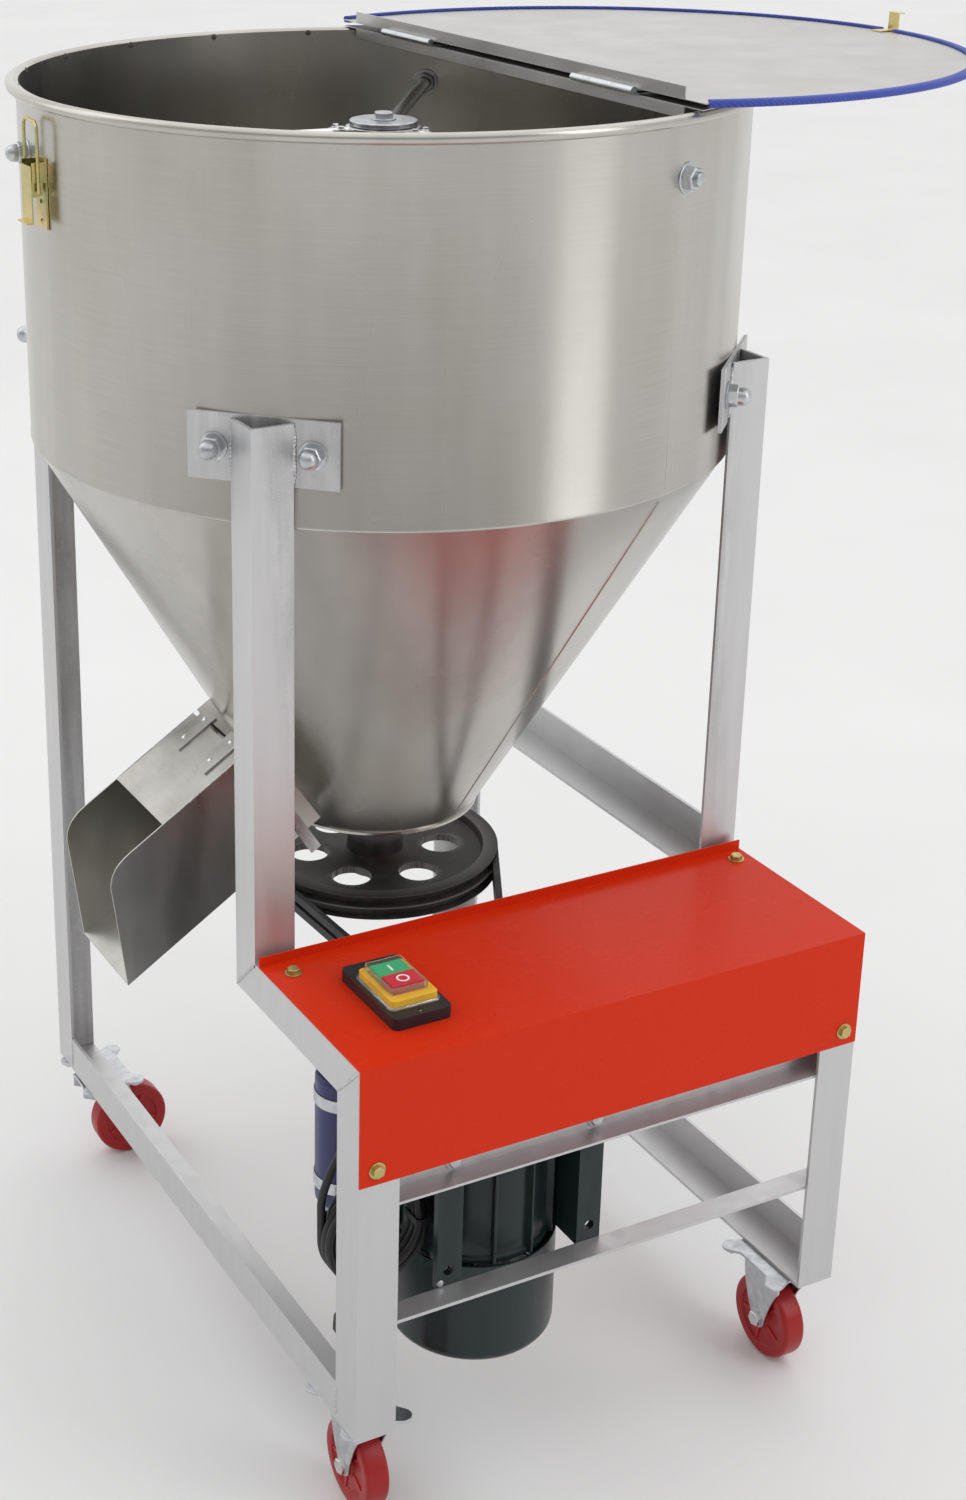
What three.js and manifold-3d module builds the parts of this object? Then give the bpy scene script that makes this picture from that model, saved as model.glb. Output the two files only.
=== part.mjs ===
// Vertical feed and seed mixer on castors: a conical hopper with a belt-driven mixing shaft.
// Millimetres, +Z up, the floor at z = 0 and the hopper's axis on x = y = 0 until the last lines.
// +X runs to the right along the belt guard, -Y is the operator's side.
import * as THREE from "three";
import { mergeVertices } from "three/addons/utils/BufferGeometryUtils.js";
import Module from "manifold-3d";

const wasm = await Module();
wasm.setup();

const GAP = 0.3;

// Sides of the largest round pieces
const ROUND = 60;

// Hopper
const HOPPER_R = 400;
const WALL = 2;
const RIM_TOP = 1454;
const BEAD_R = 6;
const CONE_TOP = 1059;
const CONE_FOOT = 589;
const CONE_FOOT_R = 122.6;

// Frame of angle iron
const HALF = 311;
const FRONT = -549;
const ANGLE = 47;
const IRON = 4;
const FOOT = 130;
const POST_TOP = 1169;
const SHELF = 580;
const SIDE_RAIL_TOP = 596;
const GUARD_FOOT = 446;

// Lid: the hinge line runs along Y
const HINGE_X = 145;
const HINGE_Z = 1460;
const LID_R = 411;
const SHEET = 1.2;
const LID_OPEN_Z = 1461.3;
const FLANGE_HALF = 352;

// Drive
const SHAFT_R = 15;
const PULLEY_R = 152;
const MOTOR_PULLEY_R = 38;
const PULLEY_Z = [489, 519];
const GROOVES = [496.5, 511.5];
const GROOVE_DEPTH = 9;
const MOTOR = { x: -97, y: -417 };
const MOTOR_SHAFT_R = 14;

// Chute frame: u runs down the chute, n stands square on its cover
const CHUTE_TILT = THREE.MathUtils.degToRad(33);
const CHUTE_ORIGIN = new THREE.Vector3(-275.4, 0, 580.1);
const CHUTE_N = 69;
const CHUTE_Y = 70;
const SLOT = [-127, -121];

// Castors
const WHEEL_R = 50;
const WHEEL_HALF = 14;
const CASTOR_X = 276;
const CASTOR_FRONT_Y = -488;
const CASTOR_REAR_Y = 248;
const TRAIL = 36;

const paint = {
  steel: { color: 0xa9a69f, roughness: 0.35, metalness: 1 },
  bright: { color: 0xcacac8, roughness: 0.25, metalness: 1 },
  silver: { color: 0xb4b4b3, roughness: 0.45, metalness: 0.8 },
  zinc: { color: 0xb9bcc0, roughness: 0.35, metalness: 1 },
  yellowZinc: { color: 0xb8a35a, roughness: 0.35, metalness: 1 },
  red: { color: 0xd23920, roughness: 0.25, metalness: 0 },
  wheel: { color: 0x8d1a1b, roughness: 0.4, metalness: 0 },
  iron: { color: 0x3a3838, roughness: 0.6, metalness: 0.6 },
  green: { color: 0x2f3a39, roughness: 0.4, metalness: 0.2 },
  navy: { color: 0x1d2350, roughness: 0.35, metalness: 0 },
  black: { color: 0x141416, roughness: 0.5, metalness: 0 },
  blue: { color: 0x2c3f9c, roughness: 0.5, metalness: 0 },
  yellow: { color: 0xf0b52c, roughness: 0.4, metalness: 0 },
  startGreen: { color: 0x3f9a5c, roughness: 0.4, metalness: 0 },
  stopRed: { color: 0xb52a34, roughness: 0.4, metalness: 0 },
};

const machine = new THREE.Group();

function add(name, geometry, look) {
  const mesh = new THREE.Mesh(geometry, new THREE.MeshStandardMaterial(paint[look]));
  mesh.name = name;
  machine.add(mesh);
  return mesh;
}

// ---- Solids: closed geometries joined and cut ----

function solidOf(geometry) {
  const bare = geometry.clone();
  bare.deleteAttribute("normal");
  bare.deleteAttribute("uv");
  const merged = mergeVertices(bare, 1e-4);
  const mesh = new wasm.Mesh({
    numProp: 3,
    vertProperties: merged.attributes.position.array,
    triVerts: new Uint32Array(merged.index.array),
  });
  return new wasm.Manifold(mesh);
}

function geometryOf(solid) {
  const mesh = solid.getMesh();
  const geometry = new THREE.BufferGeometry();
  geometry.setAttribute("position", new THREE.BufferAttribute(mesh.vertProperties, 3));
  geometry.setIndex(new THREE.BufferAttribute(mesh.triVerts, 1));
  return geometry;
}

function join(...geometries) {
  return geometryOf(geometries.map(solidOf).reduce((a, b) => a.add(b)));
}

function cut(geometry, ...tools) {
  return geometryOf(tools.map(solidOf).reduce((a, b) => a.subtract(b), solidOf(geometry)));
}

function keep(geometry, region) {
  return geometryOf(solidOf(geometry).intersect(solidOf(region)));
}

// Corners are set straight from the limits, so that boxes with a limit in common meet exactly.
function box(x, y, z) {
  const geometry = new THREE.BoxGeometry(2, 2, 2);
  const place = geometry.attributes.position;
  for (let i = 0; i < place.count; i++) {
    const side = [place.getX(i), place.getY(i), place.getZ(i)].map((value) => (value > 0 ? 1 : 0));
    place.setXYZ(i, x[side[0]], y[side[1]], z[side[2]]);
  }
  return geometry;
}

function round(radius, z, x = 0, y = 0, sides = 32) {
  const geometry = new THREE.CylinderGeometry(radius, radius, z[1] - z[0], sides);
  return geometry.rotateX(Math.PI / 2).translate(x, y, (z[0] + z[1]) / 2);
}

function roundX(radius, x, y, z, sides = 20) {
  const geometry = new THREE.CylinderGeometry(radius, radius, x[1] - x[0], sides);
  return geometry.rotateZ(Math.PI / 2).translate((x[0] + x[1]) / 2, y, z);
}

function roundY(radius, y, x, z, sides = 20) {
  const geometry = new THREE.CylinderGeometry(radius, radius, y[1] - y[0], sides);
  return geometry.translate(x, (y[0] + y[1]) / 2, z);
}

// A closed [radius, z] outline turned about the Z axis.
function turned(outline, sides = 48) {
  const points = outline.map(([r, z]) => new THREE.Vector2(r, z));
  if (THREE.ShapeUtils.area(points) < 0) points.reverse();
  points.push(points[0].clone());
  return new THREE.LatheGeometry(points, sides).rotateX(Math.PI / 2);
}

function outlineOf(points) {
  return new THREE.Shape(points.map(([a, b]) => new THREE.Vector2(a, b)));
}

// An (x, y) outline raised between two heights.
function raised(shape, z, curveSegments = 12) {
  const options = { depth: z[1] - z[0], bevelEnabled: false, curveSegments };
  return new THREE.ExtrudeGeometry(shape, options).translate(0, 0, z[0]);
}

// A (y, z) outline drawn out along X.
function alongX(shape, x, curveSegments = 8) {
  const turn = new THREE.Matrix4().makeBasis(
    new THREE.Vector3(0, 1, 0),
    new THREE.Vector3(0, 0, 1),
    new THREE.Vector3(1, 0, 0),
  );
  return raised(shape, x, curveSegments).applyMatrix4(turn);
}

// An (x, z) outline drawn out along Y.
function alongY(shape, y, curveSegments = 8) {
  const turn = new THREE.Matrix4().makeBasis(
    new THREE.Vector3(1, 0, 0),
    new THREE.Vector3(0, 0, 1),
    new THREE.Vector3(0, -1, 0),
  );
  return raised(shape, [-y[1], -y[0]], curveSegments).applyMatrix4(turn);
}

function sorted(a, b) {
  return a < b ? [a, b] : [b, a];
}

// ---- Frame ----

// An upright of angle iron whose outer corner is at (x, y), with its flanges towards (toX, toY).
function upright(x, y, toX, toY, z) {
  const alongFront = box(sorted(x, x + toX * ANGLE), sorted(y, y + toY * IRON), z);
  const alongSide = box(sorted(x, x + toX * IRON), sorted(y, y + toY * ANGLE), z);
  return join(alongFront, alongSide);
}

// Everything beyond a 45 degree mitre that passes through (y, z), towards (toY, toZ).
function beyondMitre(y, z, toY, toZ) {
  const size = 200;
  const block = new THREE.BoxGeometry(2 * HALF + 100, size, size);
  block.translate(0, size / 2, 0).rotateX(Math.atan2(toZ, toY));
  return block.translate(0, y, z);
}

// The plate that carries the hopper at one post, square to the radius, with its two bolt holes.
function hopperPlate(sideX, sideY) {
  const plate = box([-80, 80], [0, IRON], [1103, 1173]);
  const holes = [-52, 52].map((x) => roundY(7, [-20, 20], x, 1138, 8));
  const turn = Math.atan2(sideY, sideX) - Math.PI / 2;
  return cut(plate, ...holes).translate(0, HOPPER_R + GAP, 0).rotateZ(turn);
}

function post(sideX, sideY, foot) {
  const iron = upright(sideX * HALF, sideY * HALF, -sideX, -sideY, [foot, POST_TOP]);
  return join(iron, hopperPlate(sideX, sideY));
}

function addUprights() {
  const mitreGap = GAP / Math.SQRT2;
  for (const [side, name] of [[-1, "left"], [1, "right"]]) {
    add(`rear_${name}_leg`, post(side, 1, FOOT), "silver");
    const aboveShelf = beyondMitre(-HALF, SHELF + mitreGap, -1, -1);
    add(`front_${name}_post`, cut(post(side, -1, SHELF - ANGLE), aboveShelf), "silver");
    const leg = upright(side * HALF, FRONT, -side, 1, [FOOT, SHELF]);
    const mitre = beyondMitre(FRONT, SHELF - mitreGap, 1, 1);
    add(`front_${name}_leg`, cut(leg, mitre), "silver");
  }
}

// A rail along Y: a flange on its outer side, and a lying flange at z = lying.
function sideRail(side, y, z, lying) {
  const standing = box(sorted(side * HALF, side * (HALF - IRON)), y, z);
  const flat = box(sorted(side * HALF, side * (HALF - ANGLE)), y, lying);
  return join(standing, flat);
}

function addSideRails() {
  const mitreGap = GAP / Math.SQRT2;
  for (const [side, name] of [[-1, "left"], [1, "right"]]) {
    const shelf = sideRail(side, [FRONT, -HALF + ANGLE], [SHELF - ANGLE, SHELF], [SHELF - IRON, SHELF]);
    const mitres = [
      beyondMitre(-HALF, SHELF - mitreGap, 1, 1),
      beyondMitre(FRONT, SHELF + mitreGap, -1, -1),
    ];
    const clearOfPost = box([-HALF - 1, HALF + 1], [-HALF - GAP, 0], [SHELF - IRON - 1, SHELF + 1]);
    add(`${name}_shelf_rail`, cut(shelf, ...mitres, clearOfPost), "silver");

    const baseY = [FRONT + IRON + GAP, HALF - IRON - GAP];
    const base = sideRail(side, baseY, [FOOT, FOOT + ANGLE], [FOOT, FOOT + IRON]);
    const legSide = sorted(side * (HALF + 1), side * (HALF - IRON - GAP));
    const legs = [
      box(legSide, [FRONT, FRONT + ANGLE + GAP], [0, SHELF]),
      box(legSide, [HALF - ANGLE - GAP, HALF], [0, SHELF]),
    ];
    add(`${name}_base_rail`, cut(base, ...legs), "silver");
  }
  const foot = SIDE_RAIL_TOP - ANGLE;
  const betweenPosts = [-HALF + IRON + GAP, HALF - IRON - GAP];
  const right = sideRail(1, betweenPosts, [foot, SIDE_RAIL_TOP], [foot, foot + IRON]);
  const posts = [[-HALF, -HALF + ANGLE + GAP], [HALF - ANGLE - GAP, HALF]].map((y) =>
    box([HALF - IRON - GAP, HALF + 1], y, [0, POST_TOP]),
  );
  add("right_side_rail", cut(right, ...posts), "silver");
}

// The two rails between the front legs: the upper one holds the motor's feet.
function addFrontRails() {
  const inside = HALF - IRON - GAP;
  const y = [FRONT + IRON + GAP, FRONT + 32];
  const lying = box([-inside, inside], y, [409, 412]);
  const standing = box([-inside, inside], [y[1] - 3, y[1]], [409, 441]);
  const holes = [-87, 87].map((x) => roundY(6, [FRONT, -400], MOTOR.x + x, 424, 16));
  add("motor_mount_rail", cut(join(lying, standing), ...holes), "silver");
  add("front_tie_bar", box([-inside, inside], y, [263, 267]), "silver");
}

// ---- Hopper ----

function hopperOutline() {
  const bead = new THREE.Path().absarc(
    HOPPER_R + BEAD_R,
    RIM_TOP - BEAD_R,
    BEAD_R,
    THREE.MathUtils.degToRad(-150),
    THREE.MathUtils.degToRad(150),
    false,
  );
  const rim = bead.getPoints(6).map((p) => [p.x, p.y]);
  const inner = HOPPER_R - WALL;
  return [
    [24, CONE_FOOT - 3],
    [CONE_FOOT_R, CONE_FOOT - 3],
    [CONE_FOOT_R, CONE_FOOT],
    [HOPPER_R, CONE_TOP],
    ...rim,
    [inner, RIM_TOP - 3],
    [inner, CONE_TOP + 1],
    [CONE_FOOT_R - WALL, CONE_FOOT + 1],
    [24, CONE_FOOT + 1],
  ];
}

function insideHopper() {
  return turned([
    [0, CONE_FOOT + 1],
    [CONE_FOOT_R - WALL, CONE_FOOT + 1],
    [HOPPER_R - WALL, CONE_TOP + 1],
    [HOPPER_R - WALL, RIM_TOP + 50],
    [0, RIM_TOP + 50],
  ], ROUND);
}

// From the chute's own (u, y, n) to the machine.
function inChute(geometry) {
  const down = new THREE.Vector3(-Math.cos(CHUTE_TILT), 0, -Math.sin(CHUTE_TILT));
  const normal = new THREE.Vector3(-Math.sin(CHUTE_TILT), 0, Math.cos(CHUTE_TILT));
  const across = new THREE.Vector3().crossVectors(normal, down);
  const place = new THREE.Matrix4().makeBasis(down, across, normal).setPosition(CHUTE_ORIGIN);
  return geometry.applyMatrix4(place);
}

const ROD_ANGLES = [-69, 54, 173];
const ROD_Z = 1388;

function atRod(geometry, degrees) {
  return geometry.rotateZ(THREE.MathUtils.degToRad(degrees));
}

function addHopper() {
  const neck = inChute(box([-175, SLOT[0]], [-CHUTE_Y, CHUTE_Y], [-CHUTE_N, CHUTE_N]));
  const throat = inChute(
    box([-190, SLOT[0] + 5], [-CHUTE_Y + 2, CHUTE_Y - 2], [-CHUTE_N + 2, CHUTE_N - 2]),
  );
  const clearOfFloor = box([-400, -30], [-100, 100], [CONE_FOOT + 1, CONE_TOP]);
  const outlet = keep(throat, clearOfFloor);
  const rodHoles = ROD_ANGLES.map((angle) => atRod(roundX(9, [380, 430], 0, ROD_Z, 10), angle));
  const shell = join(turned(hopperOutline(), ROUND), cut(neck, insideHopper()));
  add("hopper_shell", cut(shell, outlet, ...rodHoles), "steel");
}

// The top bearing hangs on three rods that are bolted through the hopper's wall.
function addBearingSpider() {
  const housing = cut(round(44, [1374, 1396]), round(SHAFT_R + 0.4, [1370, 1400]));
  const rods = ROD_ANGLES.map((angle) => {
    const rod = roundX(8, [40, 426], 0, ROD_Z, 10);
    const lug = box([34, 62], [-14, 14], [ROD_Z - 11, ROD_Z + 7]);
    const nuts = [[380, 397], [401, 413]].map((x) => roundX(14, x, 0, ROD_Z, 6));
    return atRod(join(rod, lug, ...nuts), angle);
  });
  add("bearing_spider", cut(join(housing, ...rods), round(SHAFT_R + 0.4, [1370, 1400])), "bright");
}

// ---- Mixing shaft ----

// A strip of the auger: a straight box bent round the shaft as a helix.
function augerFlight(z, pitch, inner, outer, thickness) {
  const turns = (z[1] - z[0]) / pitch;
  const steps = Math.round(turns * 18);
  const strip = new THREE.BoxGeometry(outer - inner, turns, thickness, 1, steps, 1);
  const place = strip.attributes.position;
  for (let i = 0; i < place.count; i++) {
    const radius = (inner + outer) / 2 + place.getX(i);
    const turn = place.getY(i) + turns / 2;
    const angle = turn * 2 * Math.PI;
    const height = z[0] + turn * pitch + place.getZ(i);
    place.setXYZ(i, radius * Math.cos(angle), radius * Math.sin(angle), height);
  }
  return strip;
}

// A pulley outline with V grooves at the given heights.
function grooveOutline(radius, grooves, hub, inner) {
  const [low, high] = PULLEY_Z;
  const rim = [[radius, low]];
  for (const z of grooves) {
    rim.push([radius, z - 6.8], [radius - GROOVE_DEPTH, z - 5.5]);
    rim.push([radius - GROOVE_DEPTH, z + 5.5], [radius, z + 6.8]);
  }
  rim.push([radius, high]);
  return [...inner, ...rim, ...hub];
}

function largePulley() {
  const bore = SHAFT_R + GAP;
  const top = [[132, 519], [132, 509], [34, 509], [34, 540], [bore, 540]];
  const bottom = [[bore, 484], [34, 484], [34, 500], [132, 500], [132, 489]];
  const wheel = turned(grooveOutline(PULLEY_R, GROOVES, top, bottom), 36);
  const holes = [0, 1, 2, 3, 4, 5].map((i) => {
    const angle = THREE.MathUtils.degToRad(-18 + 60 * i);
    return round(24, [480, 545], 82 * Math.cos(angle), 82 * Math.sin(angle), 18);
  });
  return cut(wheel, ...holes);
}

function addMixer() {
  const shaft = round(SHAFT_R, [472, 1396.5]);
  const cap = round(38, [1396.5, 1402.5], 0, 0, 40);
  const bolt = round(11, [1402.5, 1411], 0, 0, 6);
  add("mixer_shaft", join(shaft, cap, bolt), "bright");
  add("auger_flight", augerFlight([606, 1330], 150, SHAFT_R + GAP, 82, 3), "steel");
  add("large_pulley", largePulley(), "iron");
  const flange = round(56, [577, CONE_FOOT - 3 - GAP]);
  const body = round(36, [546, 577]);
  add("bottom_bearing", cut(join(flange, body), round(SHAFT_R + 0.4, [540, 590])), "iron");
}

// ---- Drive ----

function addMotor() {
  const { x, y } = MOTOR;
  const barrel = round(83, [262, 440], x, y, 48);
  const ribs = [];
  for (let angle = 15; angle < 360; angle += 30) {
    const rib = box([70, 91], [-2.5, 2.5], [262, 440]);
    ribs.push(rib.rotateZ(THREE.MathUtils.degToRad(angle)).translate(x, y, 0));
  }
  const footBack = FRONT + 32 + GAP;
  const feet = [-1, 1].flatMap((side) => [
    box(sorted(x + side * 74, x + side * 102), [footBack, footBack + 9], [264, 440]),
    box(sorted(x + side * 72, x + side * 80), [footBack, y - 20], [264, 440]),
  ]);
  const holes = [-1, 1].flatMap((side) => [
    roundY(6, [FRONT, y], x + side * 87, 285, 16),
    roundY(6, [FRONT, y], x + side * 87, 424, 16),
  ]);
  const shield = turned([[0, 438], [92, 438], [92, 458], [40, 466], [40, 474], [0, 474]], 36);
  const body = join(barrel, ...ribs, shield.translate(x, y, 0), ...feet);
  const bore = round(MOTOR_SHAFT_R + 0.5, [250, 480], x, y, 24);
  add("motor_housing", cut(body, bore, ...cutToFace(holes)), "green");

  const cowl = turned([
    [93, 262 - GAP],
    [93, 142],
    [87, 136],
    [34, 136],
    [34, 138],
    [86, 138],
    [91, 143],
    [91, 262 - GAP],
  ], 32);
  add("motor_fan_cover", cowl.translate(x, y, 0), "green");

  const shaft = round(MOTOR_SHAFT_R, [190, 526], x, y, 24);
  const fan = round(66, [205, 211], x, y, 32);
  const blades = [0, 1, 2, 3, 4, 5].map((i) =>
    box([12, 76], [-1.5, 1.5], [205, 238]).rotateZ((i * Math.PI) / 3).translate(x, y, 0),
  );
  add("motor_shaft", join(shaft, fan, ...blades), "bright");

  const bore14 = MOTOR_SHAFT_R + GAP;
  const outline = grooveOutline(MOTOR_PULLEY_R, GROOVES, [[bore14, 519]], [[bore14, 489]]);
  add("motor_pulley", turned(outline, 24).translate(x, y, 0), "iron");
}

// Bolt holes only pass through the feet, which are the solids nearest the rail.
function cutToFace(holes) {
  const feetOnly = box([-400, 200], [FRONT, FRONT + 43], [200, 460]);
  return holes.map((hole) => keep(hole, feetOnly));
}

// The outline round both pulleys: two arcs and their common tangents.
function loopAround(bigRadius, smallRadius) {
  const distance = Math.hypot(MOTOR.x, MOTOR.y);
  const towards = Math.atan2(MOTOR.y, MOTOR.x);
  const lean = Math.acos((bigRadius - smallRadius) / distance);
  const shape = new THREE.Shape();
  shape.absarc(0, 0, bigRadius, towards + lean, towards - lean + 2 * Math.PI, false);
  shape.absarc(MOTOR.x, MOTOR.y, smallRadius, towards - lean, towards + lean, false);
  shape.closePath();
  return shape;
}

function addBelts() {
  GROOVES.forEach((z, i) => {
    const depth = [z - 4.8, z + 4.8];
    const seat = 1 - GROOVE_DEPTH;
    const outside = raised(loopAround(PULLEY_R, MOTOR_PULLEY_R), depth, 12);
    const inside = raised(
      loopAround(PULLEY_R + seat, MOTOR_PULLEY_R + seat),
      [depth[0] - 1, depth[1] + 1],
      12,
    );
    add(`drive_belt_${i + 1}`, cut(outside, inside), "black");
  });
}

// One folded sheet: a front, a top and an upturned rear edge.
function addBeltGuard() {
  const rear = -320;
  const thickness = 1.5;
  const outer = FRONT - GAP - thickness;
  const under = SHELF + GAP;
  const sheet = outlineOf([
    [outer, GUARD_FOOT],
    [FRONT - GAP, GUARD_FOOT],
    [FRONT - GAP, under],
    [rear, under],
    [rear, under + 12],
    [rear - thickness, under + 12],
    [rear - thickness, under + thickness],
    [outer, under + thickness],
  ]);
  add("belt_guard", alongX(sheet, [-HALF, HALF]), "red");
}

function addCapacitors() {
  add("start_capacitor", round(31, [330, 492], -254, -408, 28), "navy");
  add("run_capacitor", round(22, [232, 328], -218, -408, 24), "navy");
}

// ---- Switch ----

const SWITCH = { x: -212, y: -441, z: SHELF + 1.8 + GAP };

function roundedBox(half, corner, z) {
  const [a, b] = half;
  const shape = new THREE.Shape();
  shape.absarc(a - corner, b - corner, corner, 0, Math.PI / 2);
  shape.absarc(corner - a, b - corner, corner, Math.PI / 2, Math.PI);
  shape.absarc(corner - a, corner - b, corner, Math.PI, 1.5 * Math.PI);
  shape.absarc(a - corner, corner - b, corner, 1.5 * Math.PI, 2 * Math.PI);
  return raised(shape, z, 4);
}

function addSwitch() {
  const at = (geometry, y = 0) => geometry.translate(SWITCH.x, SWITCH.y + y, 0);
  const z = SWITCH.z;
  const screws = [-52, 52].map((y) => round(3, [z - 1, z + 20], 0, y, 12));
  const well = box([-19, 19], [-30, 26], [z + 8, z + 20]);
  add("switch_base", at(cut(roundedBox([34, 60], 7, [z, z + 13]), ...screws, well)), "black");
  const low = z + 13 + GAP;
  const pocket = box([-19, 19], [-26, 30], [low - 1, low + 20]);
  add("switch_bezel", at(cut(roundedBox([27, 38], 5, [low, low + 9]), pocket), -4), "yellow");
  add("start_button", at(box([-18, 18], [-2.5, 24], [low, low + 15]), 1), "startGreen");
  add("stop_button", at(box([-18, 18], [-28, -3.5], [low, low + 17]), 1), "stopRed");
}

// ---- Lid ----

function addLid() {
  const beyondHinge = box([HINGE_X + 5, 600], [-500, 500], [1400, 1500]);
  const cap = keep(round(LID_R, [RIM_TOP + GAP, RIM_TOP + GAP + SHEET], 0, 0, ROUND), beyondHinge);
  const flangeX = [HINGE_X + 5, HINGE_X + 5 + SHEET];
  const flangeY = [-FLANGE_HALF, FLANGE_HALF];
  const down = box(flangeX, flangeY, [1443, RIM_TOP + GAP + SHEET]);
  add("lid_fixed", join(cap, down), "bright");

  const openX = 2 * HINGE_X;
  const sheetZ = [LID_OPEN_Z, LID_OPEN_Z + SHEET];
  const openSide = box([HINGE_X + 5, 800], [-500, 500], [1400, 1500]);
  const disc = keep(round(LID_R, sheetZ, openX, 0, ROUND), openSide);
  const up = box(flangeX, flangeY, [LID_OPEN_Z, 1475]);
  add("lid_hinged", join(disc, up), "bright");

  const channel = turned([
    [LID_R + 4, 1458],
    [LID_R + 4, 1465.8],
    [LID_R - 6, 1465.8],
    [LID_R - 6, sheetZ[1] + GAP],
    [LID_R + GAP + 0.4, sheetZ[1] + GAP],
    [LID_R + GAP + 0.4, sheetZ[0] - GAP],
    [LID_R - 6, sheetZ[0] - GAP],
    [LID_R - 6, 1458],
  ], ROUND).translate(openX, 0, 0);
  const hingeSide = box([-300, HINGE_X + 8], [-500, 500], [1400, 1500]);
  const forHook = box([openX + 300, openX + 500], [-13, 13], [sheetZ[1], 1500]);
  add("lid_edge_seal", cut(channel, hingeSide, forHook), "blue");

  const z = sheetZ[1] + GAP;
  const edge = openX + LID_R + 6;
  const hookOutline = outlineOf([
    [edge - 26, z],
    [edge + 1.5, z],
    [edge + 1.5, z + 20],
    [edge + 9, z + 20],
    [edge + 9, z + 21.5],
    [edge, z + 21.5],
    [edge, z + 1.5],
    [edge - 26, z + 1.5],
  ]);
  add("lid_hook", alongY(hookOutline, [-9, 9]), "yellowZinc");
}

// A leaf with its knuckles: the outer pair with the pin, or the middle one with its bore.
function hingeLeaf(y, leafZ, fixed) {
  const middle = [y - 20, y + 20];
  const plate = box([HINGE_X + 6, HINGE_X + 30], [y - 58, y + 58], leafZ);
  const knuckle = (span) =>
    join(
      roundY(4, span, HINGE_X, HINGE_Z, 20),
      box([HINGE_X + 1, HINGE_X + 8], span, leafZ),
    );
  if (fixed) {
    const ends = [[y - 58, middle[0] - GAP], [middle[1] + GAP, y + 58]].map(knuckle);
    return join(plate, ...ends, roundY(2, [y - 58, y + 58], HINGE_X, HINGE_Z, 16));
  }
  return cut(join(plate, knuckle(middle)), roundY(2.3, [y - 60, y + 60], HINGE_X, HINGE_Z, 16));
}

function addHinges() {
  for (const [y, name] of [[-212, "front"], [212, "rear"]]) {
    add(`${name}_hinge_fixed_leaf`, hingeLeaf(y, [1455.8, 1457.3], true), "zinc");
    add(`${name}_hinge_lid_leaf`, hingeLeaf(y, [1459.5, 1461], false), "zinc");
  }
}

// ---- Toggle latch on the hopper's left ----

const LATCH_PIVOT = { x: -411, z: 1378 };
const BAIL_PIVOT = { x: -411.5, z: 1359 };

function addLatch() {
  const { x, z } = LATCH_PIVOT;
  const plate = box([-402.8, -400.8], [-16, 16], [1318, 1392]);
  const ears = [[-16, -14.5], [14.5, 16]].map((y) => box([-417, -402], y, [1367, 1388]));
  const pin = roundY(2.5, [-16, 16], x, z, 16);
  add("latch_base", join(plate, ...ears, pin), "yellowZinc");

  const cheek = outlineOf([
    [-418, 1352],
    [-405, 1354],
    [-405, 1380],
    [-408, 1384],
    [-418, 1384],
  ]);
  const cheeks = [[-14.1, -12.6], [12.6, 14.1]].map((y) => alongY(cheek, y));
  const face = box([-418, -416.5], [-14.1, 14.1], [1326, 1384]);
  const lip = box([-424, -416.5], [-14.1, 14.1], [1324.5, 1326.5]);
  const bores = [
    roundY(2.8, [-20, 20], x, z, 16),
    roundY(2.3, [-20, 20], BAIL_PIVOT.x, BAIL_PIVOT.z, 16),
  ];
  add("latch_lever", cut(join(...cheeks, face, lip), ...bores), "yellowZinc");

  const wire = 1.9;
  const side = 19;
  const top = 1430;
  const crossbar = roundY(wire, [-side, side], BAIL_PIVOT.x, BAIL_PIVOT.z, 10);
  const loopPath = new THREE.CurvePath();
  const corner = 9;
  const left = new THREE.Vector3(BAIL_PIVOT.x, -side, BAIL_PIVOT.z - wire);
  const leftTop = new THREE.Vector3(BAIL_PIVOT.x, -side, top - corner);
  const topLeft = new THREE.Vector3(BAIL_PIVOT.x, corner - side, top);
  loopPath.add(new THREE.LineCurve3(left, leftTop));
  const sharpCorner = new THREE.Vector3(BAIL_PIVOT.x, -side, top);
  loopPath.add(new THREE.QuadraticBezierCurve3(leftTop, sharpCorner, topLeft));
  const mirrored = (p) => new THREE.Vector3(p.x, -p.y, p.z);
  loopPath.add(new THREE.LineCurve3(topLeft, mirrored(topLeft)));
  loopPath.add(
    new THREE.QuadraticBezierCurve3(
      mirrored(topLeft),
      new THREE.Vector3(BAIL_PIVOT.x, side, top),
      mirrored(leftTop),
    ),
  );
  loopPath.add(new THREE.LineCurve3(mirrored(leftTop), mirrored(left)));
  const section = new THREE.Shape().absarc(0, 0, wire, 0, 2 * Math.PI, false);
  const loop = new THREE.ExtrudeGeometry(section, {
    steps: 26,
    curveSegments: 4,
    bevelEnabled: false,
    extrudePath: loopPath,
  });
  add("latch_bail", join(crossbar, loop), "yellowZinc");
}

// ---- Outlet ----

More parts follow.
